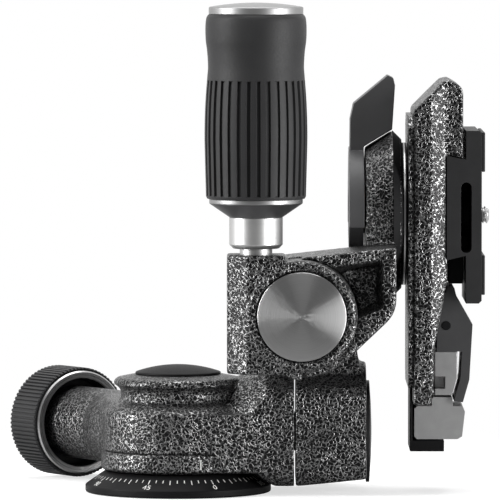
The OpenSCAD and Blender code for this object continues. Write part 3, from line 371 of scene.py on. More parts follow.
def moulded_plastic(name, dark, pale):
    """Glass filled nylon, moulded in a spark eroded tool: charcoal black with a fine even grain."""
    grain_size, cloud_size = 0.45, 14
    material, tree, mm = new_material(name)
    grain = add_node(tree, "ShaderNodeTexNoise", {"Scale": 1 / grain_size, "Detail": 4.0}, Vector=mm)
    cloud = add_node(tree, "ShaderNodeTexNoise", {"Scale": 1 / cloud_size, "Detail": 2.0}, Vector=mm)
    shade = add_node(tree, "ShaderNodeValToRGB", {"stops": ((0.3, dark), (0.7, pale))}, Fac=cloud)
    rough = add_node(tree, "ShaderNodeValToRGB", {"stops": ((0.3, 0.4), (0.7, 0.55))}, Fac=grain)
    relief = add_node(tree, "ShaderNodeBump", {"Strength": 0.3, "Distance": 0.05 * MM}, Height=grain)
    finish_material(tree, {"IOR": 1.53, "Specular IOR Level": 0.35}, Base_Color=shade, Roughness=rough,
                    Normal=relief)
    return material


def grip_rubber():
    """Moulded nitrile rubber: dark grey, matt, with a soft sheen at its edges and a fine skin."""
    skin_size, wear_size = 0.5, 11
    material, tree, mm = new_material("moulded_rubber")
    skin = add_node(tree, "ShaderNodeTexNoise", {"Scale": 1 / skin_size, "Detail": 4.0}, Vector=mm)
    wear = add_node(tree, "ShaderNodeTexNoise", {"Scale": 1 / wear_size, "Detail": 3.0}, Vector=mm)
    tones = ((0.3, "#1A1A1B"), (0.75, colours().rubber))
    shade = add_node(tree, "ShaderNodeValToRGB", {"stops": tones}, Fac=wear)
    rough = add_node(tree, "ShaderNodeValToRGB", {"stops": ((0.3, 0.5), (0.7, 0.64))}, Fac=skin)
    relief = add_node(tree, "ShaderNodeBump", {"Strength": 0.22, "Distance": 0.05 * MM}, Height=skin)
    sheen = {"Sheen Weight": 0.1, "Sheen Roughness": 0.5}
    finish_material(tree, {"IOR": 1.52, "Specular IOR Level": 0.3, **sheen}, Base_Color=shade,
                    Roughness=rough, Normal=relief)
    return material


def about_axis(tree, mm, origin, axis):
    """Coordinates about a lathe's axis: the place from its origin, the distance out and the height along."""
    turn = Vector(axis).rotation_difference(Z).to_euler()
    place = add_node(tree, "ShaderNodeMapping", {"Location": -Vector(origin) / MM}, Vector=mm)
    upright = add_node(tree, "ShaderNodeMapping", {"Rotation": turn}, Vector=place)
    parts = add_node(tree, "ShaderNodeSeparateXYZ", in0=upright)
    plan = add_node(tree, "ShaderNodeCombineXYZ", in0=parts.outputs["X"], in1=parts.outputs["Y"])
    out = add_node(tree, "ShaderNodeVectorMath", {"operation": "LENGTH"}, in0=plan)
    return place, out.outputs["Value"], parts.outputs["Z"]


def turned_metal(name, origin, axis, tones, pitch=0.5, roughness=(0.24, 0.36)):
    """Aluminium turned on a lathe about an axis and left bright: rings of the tool across a satin shine.
    The real rings are some 0.1 mm apart, too fine for the picture, so the pitch is drawn coarser."""
    material, tree, mm = new_material(name)
    out, along = about_axis(tree, mm, origin, axis)[1:]
    rings = add_node(tree, "ShaderNodeCombineXYZ", in0=out, in2=along)
    lines = add_node(tree, "ShaderNodeTexNoise", {"Scale": 1 / pitch, "Detail": 3.0}, Vector=rings)
    shade = add_node(tree, "ShaderNodeValToRGB", {"stops": zip((0.25, 0.75), tones)}, Fac=lines)
    rough = add_node(tree, "ShaderNodeValToRGB", {"stops": zip((0.3, 0.7), roughness)}, Fac=lines)
    relief = add_node(tree, "ShaderNodeBump", {"Strength": 0.04, "Distance": 0.03 * MM}, Height=lines)
    finish_material(tree, {"Metallic": 1.0}, Base_Color=shade, Roughness=rough, Normal=relief)
    return material


def spun_metal(name, origin, axis):
    """Aluminium faced on a lathe: rings round the centre spread each lamp into a fan that runs out from it.
    The shine is stretched across the rings, so the tangent points out from the centre.
    The real rings are some 0.1 mm apart, too fine for the picture, so they are drawn coarser."""
    pitch = 0.35
    material, tree, mm = new_material(name)
    place, out = about_axis(tree, mm, origin, axis)[:2]
    rings = add_node(tree, "ShaderNodeTexNoise",
                     {"noise_dimensions": "1D", "Scale": 1 / pitch, "Detail": 3.0}, W=out)
    outward = add_node(tree, "ShaderNodeVectorMath", {"operation": "NORMALIZE"}, in0=place)
    tones = ((0.25, "#A4A4A4"), (0.75, "#AEAEAE"))
    shade = add_node(tree, "ShaderNodeValToRGB", {"stops": tones}, Fac=rings)
    rough = add_node(tree, "ShaderNodeValToRGB", {"stops": ((0.3, 0.31), (0.7, 0.35))}, Fac=rings)
    relief = add_node(tree, "ShaderNodeBump", {"Strength": 0.03, "Distance": 0.02 * MM}, Height=rings)
    finish_material(tree, {"Metallic": 1.0, "Anisotropic": 0.9}, Base_Color=shade, Roughness=rough,
                    Normal=relief, Tangent=outward)
    return material


def hard_anodise(name, dark, pale):
    """Hard anodised plate: dark grey, blasted first, so matt and slightly grainy."""
    grit_size, rub_size = 0.35, 7
    material, tree, mm = new_material(name)
    grit = add_node(tree, "ShaderNodeTexNoise", {"Scale": 1 / grit_size, "Detail": 3.0}, Vector=mm)
    rub = add_node(tree, "ShaderNodeTexNoise", {"Scale": 1 / rub_size, "Detail": 4.0}, Vector=mm)
    shade = add_node(tree, "ShaderNodeValToRGB", {"stops": ((0.3, dark), (0.75, pale))}, Fac=rub)
    rough = add_node(tree, "ShaderNodeValToRGB", {"stops": ((0.3, 0.44), (0.7, 0.56))}, Fac=grit)
    relief = add_node(tree, "ShaderNodeBump", {"Strength": 0.2, "Distance": 0.04 * MM}, Height=grit)
    finish_material(tree, {"Metallic": 0.25, "Specular IOR Level": 0.5}, Base_Color=shade, Roughness=rough,
                    Normal=relief)
    return material


def cast_alloy(name, tones, roughness):
    """Die cast zinc alloy, tumbled and plated satin: pale grey with a soft cloudy shine."""
    cloud_size, tumble_size = 4, 0.4
    material, tree, mm = new_material(name)
    cloud = add_node(tree, "ShaderNodeTexNoise", {"Scale": 1 / cloud_size, "Detail": 4.0}, Vector=mm)
    tumble = add_node(tree, "ShaderNodeTexNoise", {"Scale": 1 / tumble_size, "Detail": 2.0}, Vector=mm)
    shade = add_node(tree, "ShaderNodeValToRGB", {"stops": zip((0.3, 0.7), tones)}, Fac=cloud)
    rough = add_node(tree, "ShaderNodeValToRGB", {"stops": zip((0.3, 0.7), roughness)}, Fac=tumble)
    relief = add_node(tree, "ShaderNodeBump", {"Strength": 0.12, "Distance": 0.04 * MM}, Height=tumble)
    finish_material(tree, {"Metallic": 0.9}, Base_Color=shade, Roughness=rough, Normal=relief)
    return material


def inner_metal(name, tones, roughness, metallic=1.0):
    """A plain worked metal or pad, most of it inside the head: faint marks of its making."""
    mark_size = 1.2
    material, tree, mm = new_material(name)
    marks = add_node(tree, "ShaderNodeTexNoise", {"Scale": 1 / mark_size, "Detail": 4.0}, Vector=mm)
    shade = add_node(tree, "ShaderNodeValToRGB", {"stops": zip((0.3, 0.7), tones)}, Fac=marks)
    rough = add_node(tree, "ShaderNodeValToRGB", {"stops": zip((0.3, 0.7), roughness)}, Fac=marks)
    relief = add_node(tree, "ShaderNodeBump", {"Strength": 0.1, "Distance": 0.04 * MM}, Height=marks)
    finish_material(tree, {"Metallic": metallic}, Base_Color=shade, Roughness=rough, Normal=relief)
    return material


def scale_print():
    """White lacquer filled into engraved marks: flat white with thin places."""
    thin_size = 0.8
    material, tree, mm = new_material("filled_white_lacquer")
    thin = add_node(tree, "ShaderNodeTexNoise", {"Scale": 1 / thin_size, "Detail": 2.0}, Vector=mm)
    tones = ((0.25, "#B4B4B2"), (0.55, colours().print_white))
    shade = add_node(tree, "ShaderNodeValToRGB", {"stops": tones}, Fac=thin)
    rough = add_node(tree, "ShaderNodeValToRGB", {"stops": ((0.3, 0.5), (0.7, 0.65))}, Fac=thin)
    finish_material(tree, {"Specular IOR Level": 0.4}, Base_Color=shade, Roughness=rough)
    return material


# Places of the frame

BODY_OF = {n: body for body, members in frame["record"]["behaviour"]["bodies"].items() for n in members}
SLOT_OF = {part["node"]: part["material_slot"] for part in frame["record"]["subparts"]}
NEAR = 0.05  # millimetres within which two heights or radii of a CAD node are one


def joint_line(name):
    """Origin and direction of a joint."""
    return Vector(JOINTS[name]["pos_m"]), Vector(JOINTS[name]["axis"]).normalized()


def outline(node, origin, axis):
    """The (radius, height) of each point of a CAD node about a line, in millimetres."""
    points = []
    for vertex in frame["nodes"][node].data.vertices:
        offset = vertex.co - origin
        height = offset.dot(axis)
        points.append(((offset - axis * height).length / MM, height / MM))
    return points


def span(node, origin, axis):
    """Start, end and radius of a CAD node along a line, in millimetres."""
    points = outline(node, origin, axis)
    heights = [height for radius, height in points]
    return min(heights), max(heights), max(radius for radius, height in points)


def radius_at(points, level):
    """The largest radius of an outline at a height."""
    return max(radius for radius, height in points if abs(height - level) < NEAR)


def height_at(points, reach):
    """The greatest height of an outline at a radius."""
    return max(height for radius, height in points if abs(radius - reach) < NEAR)


# Forms

def curve_through(points, parts=5):
    """More points on a smooth line through the given (radius, height) points."""
    out = []
    for i in range(len(points) - 1):
        a, b = points[max(i - 1, 0)], points[i]
        c, d = points[i + 1], points[min(i + 2, len(points) - 1)]
        for k in range(parts):
            t = k / parts
            out.append(tuple(
                0.5 * (2 * q + (r - p) * t + (2 * p - 5 * q + 4 * r - s) * t ** 2
                       + (3 * q - p - 3 * r + s) * t ** 3)
                for p, q, r, s in zip(a, b, c, d)))
    return out + [points[-1]]


def cast_form(node, cell, passes):
    """A casting: the node's solid drawn in small cells and smoothed, so that edges and corners are round."""
    kept_share = 0.45
    mesh = bpy.data.meshes.new(node + "_pattern")
    bm = merged_copy(node)
    bm.to_mesh(mesh)
    bm.free()
    pattern = bpy.data.objects.new(node + "_pattern", mesh)
    bpy.context.scene.collection.objects.link(pattern)
    remesh = pattern.modifiers.new("cells", "REMESH")
    remesh.mode = "VOXEL"
    remesh.voxel_size = cell
    remesh.use_smooth_shade = True
    ease = pattern.modifiers.new("ease", "SMOOTH")
    ease.factor = 0.5
    ease.iterations = passes
    thin = pattern.modifiers.new("thin", "DECIMATE")
    thin.ratio = kept_share
    done = evaluated(pattern)
    done.name = node + "_casting"
    bpy.data.objects.remove(pattern)
    bpy.data.meshes.remove(mesh)
    done.shade_smooth()
    return done


def around(face, steps):
    """Where a face of a turned form lies: radius and height in millimetres, and its step round the form."""
    middle = face.calc_center_median()
    step = math.floor(math.atan2(middle.y, middle.x) / (2 * math.pi / steps))
    return math.hypot(middle.x, middle.y) / MM, middle.z / MM, step


def sink(bm, faces, wall, depth):
    """Sinks faces as grooves whose walls slope over a width in millimetres. The depth is in metres."""
    bmesh.ops.inset_region(bm, faces=faces, thickness=wall * MM, depth=-depth, use_even_offset=True,
                           use_boundary=True)


def ribbed(bm, radius, ribs):
    """Sinks the grooves between the ribs of a knob that was turned with two steps to each rib."""
    rim, steep, wall = radius - 0.7, 0.8, 0.12
    grooves = []
    for face in bm.faces:
        out, step = around(face, 2 * ribs)[::2]
        if out > rim and abs(face.normal.z) < steep and step % 2 == 0:
            grooves.append(face)
    sink(bm, grooves, wall, sizes().rib_depth)


def fluted(bm, low, high, inside, steps):
    """Sinks flutes between two heights into a grip that was turned with six steps to each flute: three of
    the six are sunk. Faces no further out than inside are left."""
    wall = 0.28
    for height in (low, high):
        bmesh.ops.bisect_plane(bm, geom=bm.verts[:] + bm.edges[:] + bm.faces[:], dist=JOIN,
                               plane_co=(0, 0, height * MM), plane_no=(0, 0, 1))
    grooves = []
    for face in bm.faces:
        out, height, step = around(face, steps)
        if out > inside and low < height < high and step % 6 < 3:
            grooves.append(face)
    sink(bm, grooves, wall, sizes().flute_depth)


def add_thread(bm, root, crest, first, last):
    """Adds a screw's ridge to a shank: one turn's outline, run up as a helix and closed at both ends."""
    pitch = sizes().thread_pitch / MM
    foot, flank, width = root - 0.1, 0.4 * pitch, 0.9 * pitch
    turns = (last - first - width) / pitch
    steps = round(32 * turns)
    section = ((foot, 0), (crest, flank), (crest, width - flank), (foot, width))
    ridge = [bm.verts.new((r * MM, 0, (first + z) * MM)) for r, z in section]
    edges = [bm.edges.new(pair) for pair in zip(ridge, ridge[1:] + ridge[:1])]
    bm.faces.new(ridge)
    swept = bmesh.ops.spin(bm, geom=ridge + edges, cent=(0, 0, 0), axis=(0, 0, 1),
                           angle=2 * math.pi * turns, dvec=(0, 0, pitch * turns * MM / steps),
                           steps=steps, use_merge=False)
    end = [e for e in swept["geom_last"] if isinstance(e, bmesh.types.BMEdge)]
    bmesh.ops.contextual_create(bm, geom=end)
    bmesh.ops.recalc_face_normals(bm, faces=bm.faces)


def dressed(name, form, node, material, smooth_angle=35):
    """A finished form, a bmesh or a mesh, that stands for one CAD node."""
    mesh = mesh_from(form, name, smooth_angle) if isinstance(form, bmesh.types.BMesh) else form
    return place_piece(name, mesh, BODY_OF[node], SLOT_OF[node], material, node)


def trim(name, form, node, material):
    """A small form that rides with a CAD node and stands for none."""
    return place_piece(name, mesh_from(form, name), BODY_OF[node], SLOT_OF[node], material)


# Pieces

class HEAD_OT_inner_parts(bpy.types.Operator):
    """Gives every node of the frame the finish of its material slot"""

    bl_idname = "head.inner_parts"
    bl_label = "Inner parts"

    def execute(self, context):
        finishes = {
            "black_anodised": black_anodise(),
            "hammertone": hammertone_paint(),
            "black_plastic": moulded_plastic("moulded_nylon", "#18181A", colours().plastic),
            "grip_rubber": grip_rubber(),
            "satin_aluminium": inner_metal("satin_aluminium", ("#B4B4B4", "#C4C4C4"), (0.28, 0.38)),
            "spun_aluminium": inner_metal("faced_aluminium", ("#8C8C8C", "#A0A0A0"), (0.3, 0.4)),
            "grey_alloy": hard_anodise("hard_anodised_aluminium", "#202021", colours().plate_grey),
            "catch_alloy": cast_alloy("plated_zinc", ("#A2A2A2", "#AAAAAA"), (0.44, 0.54)),
            "steel": inner_metal("zinc_plated_steel", ("#868686", "#969696"), (0.36, 0.44)),
            "bush_brass": inner_metal("machined_bronze", ("#8A6A3A", "#A88550"), (0.3, 0.45)),
            "brake_pad": inner_metal("brake_felt", ("#6E5A40", "#8A7353"), (0.8, 0.9), 0.0),
        }
        for node, piece in frame["nodes"].items():
            piece.data.materials.clear()
            piece.data.materials.append(finishes[SLOT_OF[node]])
        return {"FINISHED"}


class HEAD_OT_castings(bpy.types.Operator):
    """Casts the painted bodies: housing, ring, yoke, arm, cheek, bracket and platform"""

    bl_idname = "head.castings"
    bl_label = "Castings"

    def execute(self, context):
        # size of each casting's cells, as a share of the grain, and how often it is smoothed
        plan = {"pan_housing": (1.0, 9), "pan_ring": (0.75, 4), "side_yoke": (1.0, 7), "tilt_arm": (1.0, 8),
                "handle_bracket": (0.9, 7), "far_cheek": (1.0, 7), "platform": (1.0, 8)}
        paint = bpy.data.materials["hammertone_enamel"]
        for node, (share, passes) in plan.items():
            form = cast_form(node, sizes().casting_grain * share, passes)
            dressed(node + "_casting", form, node, paint)

        # a ring in the black anodise finish is laid over the face of the cone behind the slip ring
        origin, axis = joint_line("top_turn")
        front, slip_r = span("slip_ring", origin, axis)[::2]
        rim_r, face_r, inner_r = slip_r + 4.35, slip_r + 1.2, slip_r - 0.8
        face, foot, lip = front - 0.06, front - 3.4, 0.4
        bm = turned([(inner_r, foot), (rim_r - lip, foot), (rim_r, foot + lip / 2), (face_r, face),
                     (inner_r, face)], steps=128)
        stand(bm, origin, axis)
        place_piece("cone_black_band", mesh_from(bm, "cone_black_band"), "tilt_body", "black_anodised",
                    bpy.data.materials["black_anodised_aluminium"])
        return {"FINISHED"}


MARK_START = 28.1  # radius at which the marks of the pan scale start, in millimetres
SHORT_MARK = 1.5
LONG_MARK = 2.3
PROUD = 0.03  # a filled mark stands this much proud of the cone, to be seen
ZERO = math.radians(25)  # place of the zero mark, from the front towards +X


def base_cone():
    """Slope of the base's cone, and the radius and height of its upper edge in millimetres."""
    points = outline("base_disc", Vector(), Z)
    top_z, rim_r = span("base_disc", Vector(), Z)[1:]
    top_r = radius_at(points, top_z)
    return math.atan2(top_z - height_at(points, rim_r), rim_r - top_r), top_r, top_z


def on_cone(cone, radius, angle):
    """Lays a flat form on the cone, at an angle from the zero mark, its upper side up the slope."""
    slope, top_r, top_z = cone
    height = top_z - (radius - top_r) * math.tan(slope)
    return (Matrix.Rotation(ZERO - angle, 4, "Z") @ Matrix.Translation((0, -radius * MM, height * MM))
            @ Matrix.Rotation(slope, 4, "X"))


def scale_marks():
    """A mark at each step of the pan scale, every third one long."""
    bm = bmesh.new()
    cone = base_cone()
    step = sizes().scale_step
    for i in range(round(2 * math.pi / step)):
        reach = LONG_MARK if i % 3 == 0 else SHORT_MARK
        made = bmesh.ops.create_cube(bm, size=1)["verts"]
        bmesh.ops.scale(bm, verts=made, vec=(sizes().mark_width, reach * MM, 2 * PROUD * MM))
        bmesh.ops.transform(bm, verts=made, matrix=on_cone(cone, MARK_START + reach / 2, i * step))
    return bm


def scale_numerals():
    """A numeral below the marks at each eighth of a turn."""
    drop, em = 1.25, 1.4 * sizes().numeral_height
    bm = bmesh.new()
    cone = base_cone()
    for value in range(0, 360, 45):
        words = bpy.data.curves.new("numeral", "FONT")
        words.body = str(value)
        words.size = em
        words.align_x = "CENTER"
        words.align_y = "CENTER"
        words.extrude = PROUD * MM
        words.resolution_u = 3
        holder = bpy.data.objects.new("numeral", words)
        bpy.context.scene.collection.objects.link(holder)
        flat = evaluated(holder)
        flat.transform(on_cone(cone, MARK_START + LONG_MARK + drop, math.radians(value)))
        bm.from_mesh(flat)
        bpy.data.objects.remove(holder)
        bpy.data.curves.remove(words)
        bpy.data.meshes.remove(flat)
    return bm


def scale_index():
    """The line on the ring above the scale that the marks are read against."""
    wide, deep, tall, ahead, turn = 0.45, 0.3, 3.4, 0.02, math.radians(17.5)
    low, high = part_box("pan_ring")
    bm = bmesh.new()
    bmesh.ops.create_cube(bm, size=1)
    bmesh.ops.scale(bm, verts=bm.verts, vec=(wide * MM, deep * MM, tall * MM))
    front = Matrix.Translation((0, low.y - ahead * MM, (low.z + high.z) / 2))
    bmesh.ops.transform(bm, verts=bm.verts, matrix=Matrix.Rotation(turn, 4, "Z") @ front)
    return bm


class HEAD_OT_base(bpy.types.Operator):
    """Turns the base disc and the pan cap, and fills the pan scale"""

    bl_idname = "head.base"
    bl_label = "Base and pan scale"

    def execute(self, context):
        anodise = bpy.data.materials["black_anodised_aluminium"]
        white = scale_print()
        dressed("base_disc_turned", eased("base_disc", 0.3), "base_disc", anodise)
        trim("pan_scale_marks", scale_marks(), "base_disc", white)
        trim("pan_scale_numerals", scale_numerals(), "base_disc", white)
        trim("pan_index_line", scale_index(), "pan_ring", white)
        dressed("pan_cap_turned", eased("pan_cap", 0.35), "pan_cap", anodise)
        return {"FINISHED"}


class HEAD_OT_knobs(bpy.types.Operator):
    """Moulds the ribbed pan knob with its bright ring, and the side tilt knob"""

    bl_idname = "head.knobs"
    bl_label = "Knobs"

    def execute(self, context):
        nylon = bpy.data.materials["moulded_nylon"]
        lip, fillet, edge, dish = 0.5, 0.6, 0.9, 0.5

        # the pan knob: deep recess at its near end, shallow dish in its far end
        origin, axis = joint_line("pan_knob_turn")
        near, far, radius = span("pan_knob_grip", origin, axis)
        stem_r = span("pan_knob_stem", origin, axis)[2]
        recess_r, recess_floor = radius - 4, near + 6
        dish_r, dish_floor_r = radius - 4.2, radius - 5
        ribs = sizes().knob_ribs
        bm = turned([
            (stem_r, recess_floor), (recess_r - fillet, recess_floor), (recess_r, recess_floor - fillet),
            (recess_r, near + lip), (recess_r + lip, near), (radius - lip, near), (radius, near + lip),
            (radius, far - edge), (radius - edge, far), (dish_r, far), (dish_floor_r, far - dish),
            (stem_r, far - dish)], steps=2 * ribs)
        ribbed(bm, radius, ribs)
        stand(bm, origin, axis)
        dressed("pan_knob_ribbed", bm, "pan_knob_grip", nylon, smooth_angle=30)

        start, end, outer = span("pan_knob_ring", origin, axis)
        inner, ease = recess_r + 0.1, 0.25
        bm = turned([(inner, end), (inner, start + ease), (inner + ease, start), (outer - lip, start),
                     (outer, start + lip), (outer, end)], steps=128)
        stand(bm, origin, axis)
        bright = turned_metal("turned_aluminium_knob_ring", origin, axis, ("#A9A9A9", "#C4C4C4"))
        dressed("pan_knob_ring_turned", bm, "pan_knob_ring", bright)

        # the side tilt knob at the back is smaller, its ribs as far apart
        origin, axis = joint_line("side_tilt_lock_turn")
        near, far, small = span("roll_knob", origin, axis)
        dish_r, dish_floor_r = small - 2.6, small - 3.2
        fewer = round(ribs * small / radius)
        bm = turned([
            (0, near), (small - lip, near), (small, near + lip), (small, far - edge), (small - edge, far),
            (dish_r, far), (dish_floor_r, far - dish), (0, far - dish)], steps=2 * fewer)
        ribbed(bm, small, fewer)
        stand(bm, origin, axis)
        dressed("roll_knob_ribbed", bm, "roll_knob", nylon, smooth_angle=30)
        return {"FINISHED"}


class HEAD_OT_handle(bpy.types.Operator):
    """Turns the handle's metal pieces and moulds its fluted rubber grip"""

    bl_idname = "head.handle"
    bl_label = "Twist handle"

    def execute(self, context):
        place = joint_line("handle_twist")[0]
        base = Vector((place.x, place.y, 0))

        # rubber: bulged, drawn in under its shoulder and rounded at the top; bulge is how far it lies inside
        # its greatest radius, at shares of its length
        low, high, radius = span("handle_grip", base, Z)
        rod_r = span("handle_rod", base, Z)[2]
        length = high - low
        foot, foot_r, hem_r = 0.8, radius - 0.9, radius - 0.5
        bulge = ((0.15, 0.22), (0.0, 0.36), (0.3, 0.52), (0.95, 0.66), (1.2, 0.72), (0.9, 0.8), (0.4, 0.86),
                 (0.3, 0.93), (0.6, 0.98), (1.4, 1.0))
        side = [(hem_r, foot)] + [(radius - inset, share * length) for inset, share in bulge]
        profile = [(rod_r, 0), (foot_r, 0)] + curve_through(side) + [(rod_r, length)]
        steps = 6 * sizes().grip_flutes
        bm = turned([(r, low + z) for r, z in profile], steps=steps)
        flute_low, flute_high = low + foot + 0.2, low + sizes().flute_length / MM
        fluted(bm, flute_low, flute_high, radius - 3, steps)
        stand(bm, base, Z)
        rubber = bpy.data.materials["moulded_rubber"]
        dressed("handle_grip_fluted", bm, "handle_grip", rubber, smooth_angle=40)

        # bright metal below and above the rubber
        pitch = 0.6
        bare = ("#BCBCBC", colours().bare_metal)
        bright = turned_metal("turned_aluminium_handle", base, Z, bare, pitch, (0.4, 0.46))
        grey = turned_metal("turned_aluminium_cone", base, Z, ("#5E5E5F", "#6C6C6D"), pitch, (0.4, 0.5))
        rim = turned_metal("turned_aluminium_rims", base, Z, ("#929292", "#9C9C9C"), pitch, (0.42, 0.48))
        for node, finish, edge in (("handle_neck", bright, 0.3), ("handle_core", grey, 0.2),
                                   ("handle_collar", rim, 0.3), ("handle_end_cap", rim, 0.4),
                                   ("handle_rod", bright, 0.2)):
            dressed(node + "_turned", eased(node, edge), node, finish)
        return {"FINISHED"}


class HEAD_OT_caps(bpy.types.Operator):
    """Faces the caps at both ends of the tilt axis, and makes the slip ring and the yoke's end cap"""

    bl_idname = "head.caps"
    bl_label = "Caps and rings"

    def execute(self, context):
        origin, axis = joint_line("tilt")
        faced = spun_metal("faced_aluminium_tilt_cap", origin, axis)
        for node in ("tilt_cap", "far_cap"):
            dressed(node + "_faced", eased(node, 0.35), node, faced)

        # the slip ring is black, with a bright line turned through the black
        origin, axis = joint_line("top_turn")
        bright = turned_metal("turned_aluminium_slip_ring", origin, axis, ("#9A9A9A", "#B4B4B4"))
        anodise = bpy.data.materials["black_anodised_aluminium"]
        dressed("slip_ring_turned", eased("slip_ring", 0.2), "slip_ring", anodise)
        start, end, ring_r = span("slip_ring", origin, axis)
        half, proud, root = 0.25, 0.05, 1
        middle = (start + end) / 2
        bm = turned([(ring_r - root, middle - half), (ring_r + proud, middle - half),
                     (ring_r + proud, middle + half), (ring_r - root, middle + half)], steps=128)
        stand(bm, origin, axis)
        trim("slip_ring_bright_line", bm, "slip_ring", bright)
        nylon = bpy.data.materials["moulded_nylon"]
        dressed("roll_end_cap_moulded", eased("roll_end_cap", 0.4), "roll_end_cap", nylon)
        return {"FINISHED"}


class HEAD_OT_levers(bpy.types.Operator):
    """Eases the edges of the levers, the catch, the jaw and the brackets"""

    bl_idname = "head.levers"
    bl_label = "Levers, catch and brackets"

    def execute(self, context):
        # the lock lever's nylon is drawn paler than the knobs' nylon, as painted sheen
        nylon = moulded_plastic("moulded_nylon_lever_and_sheen", "#444445", colours().lever_grey)
        grey = hard_anodise("anodised_lever", "#3A3A3B", "#404041")
        paint = bpy.data.materials["hammertone_enamel"]
        zinc = bpy.data.materials["plated_zinc"]
        anodise = bpy.data.materials["black_anodised_aluminium"]
        for node, finish, edge in (
                ("lock_lever", nylon, 0.7), ("qr_lever", grey, 0.4), ("lever_tongue", zinc, 0.35),
                ("safety_catch", zinc, 0.5), ("catch_bracket", anodise, 0.5), ("movable_jaw", anodise, 0.3),
                ("hinge_block", anodise, 0.3), ("platform_back_plate", paint, 0.5),
                ("lever_pin", anodise, 0.2)):
            dressed(node + "_eased", eased(node, edge), node, finish)
        return {"FINISHED"}


class HEAD_OT_plate(bpy.types.Operator):
    """Eases the quick-release plate and its pads and cuts the camera screw's thread"""

    bl_idname = "head.plate"
    bl_label = "Plate and camera screw"

    def execute(self, context):
        plate_finish = bpy.data.materials["hard_anodised_aluminium"]
        dressed("qr_plate_eased", eased("qr_plate", 0.4), "qr_plate", plate_finish)
        rubber = bpy.data.materials["moulded_rubber"]
        dressed("plate_pads_moulded", eased("plate_pads", 0.3), "plate_pads", rubber)

        # the camera screw is drawn black as far as the plate hides it, as painted shade that keeps the slot round
        # its head dark, and bright from there on
        origin, axis = joint_line("camera_screw_turn")
        low, high, head_r = span("camera_screw", origin, axis)
        head_top = height_at(outline("camera_screw", origin, axis), head_r)
        face = (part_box("qr_plate")[1].x - origin.x) / MM
        crest, root, tip, ease = 3.1, 2.45, 0.6, 0.15
        hidden, thread_start = face - 0.4, face - 0.3
        bm = turned([(0, low), (head_r, low), (head_r, head_top), (root, head_top), (root, hidden),
                     (0, hidden)], steps=64, rounding=ease)
        stand(bm, origin, axis)
        anodise = bpy.data.materials["black_anodised_aluminium"]
        trim("camera_screw_head_painted_shade", bm, "camera_screw", anodise)

        bm = turned([(0, hidden), (root, hidden), (root, high - tip), (root - tip, high), (0, high)],
                    steps=64, rounding=ease)
        add_thread(bm, root, crest, thread_start, high - ease)
        stand(bm, origin, axis)
        steel = inner_metal("bright_rolled_steel", ("#B4B4B4", "#C6C6C6"), (0.3, 0.4))
        dressed("camera_screw_threaded", bm, "camera_screw", steel)
        return {"FINISHED"}


# Stage

def lay_floor(stage, level):
    """Pale card that fades into the white surround, so that no edge or horizon is seen.
    It is lifted towards white for the camera alone, and keeps the head's shadow."""
    fibre_size, drop, camera_lift = 30, 0.2, 0.65
    material, tree, mm = new_material("pale_floor_card")
    fibre = add_node(tree, "ShaderNodeTexNoise", {"Scale": 1 / fibre_size, "Detail": 2.0}, Vector=mm)
    card = add_node(tree, "ShaderNodeValToRGB", {"stops": ((0.3, "#CBCBCB"), (0.7, stage.floor))}, Fac=fibre)
    reach = add_node(tree, "ShaderNodeVectorMath", {"operation": "LENGTH"}, in0=mm)
    fade = add_node(tree, "ShaderNodeMapRange", {
        "interpolation_type": "SMOOTHSTEP", "From Min": 0.25 * stage.floor_reach / MM,
        "From Max": stage.floor_reach / MM}, Value=reach.outputs["Value"])
    path = add_node(tree, "ShaderNodeLightPath")
    lift = add_node(tree, "ShaderNodeMath", {"operation": "MULTIPLY", 1: camera_lift},
                    in0=path.outputs["Is Camera Ray"])
    matt = add_node(tree, "ShaderNodeBsdfDiffuse", Color=card)
    glow = add_node(tree, "ShaderNodeEmission", {"Color": (1, 1, 1, 1)}, Strength=lift)
    both = add_node(tree, "ShaderNodeAddShader", in0=matt, in1=glow)
    clear = add_node(tree, "ShaderNodeBsdfTransparent")
    edge = add_node(tree, "ShaderNodeMixShader", Fac=fade, in1=both, in2=clear)
    add_node(tree, "ShaderNodeOutputMaterial", Surface=edge)

    bm = bmesh.new()
    bmesh.ops.create_circle(bm, cap_ends=True, segments=64, radius=stage.floor_reach)
    bmesh.ops.translate(bm, verts=bm.verts, vec=(0, 0, level - drop * MM))
    mesh = bpy.data.meshes.new("floor")
    bm.to_mesh(mesh)
    bm.free()
    mesh.materials.append(material)
    floor = bpy.data.objects.new("floor", mesh)
    bpy.context.scene.collection.objects.link(floor)


def hang_surround(stage):
    """A surround that is white to the camera. A shine finds it white behind the head and dimmer towards the
    room in front, and matt surfaces get a little fill from it."""
    room = 0.2
    world = bpy.data.worlds.new("white_surround")
    world.use_nodes = True
    tree = world.node_tree
    tree.nodes.clear()
    path = add_node(tree, "ShaderNodeLightPath")
    where = add_node(tree, "ShaderNodeTexCoord").outputs["Generated"]
    way = add_node(tree, "ShaderNodeSeparateXYZ", in0=where)
    depth = add_node(tree, "ShaderNodeMapRange", {
        "From Min": -0.5, "From Max": 0.5, "To Min": room, "To Max": 1.0}, Value=way.outputs["Y"])
    shine = add_node(tree, "ShaderNodeMath", {"operation": "MAXIMUM"}, in0=path.outputs["Is Glossy Ray"],
                     in1=path.outputs["Is Transmission Ray"])
    fill = add_node(tree, "ShaderNodeMix", {"A": stage.fill}, Factor=shine, B=depth)
    level = add_node(tree, "ShaderNodeMix", {"B": 1.0}, Factor=path.outputs["Is Camera Ray"], A=fill)
    light = add_node(tree, "ShaderNodeBackground", {"Color": (1, 1, 1, 1)}, Strength=level)
    add_node(tree, "ShaderNodeOutputWorld", Surface=light)
    bpy.context.scene.world = world


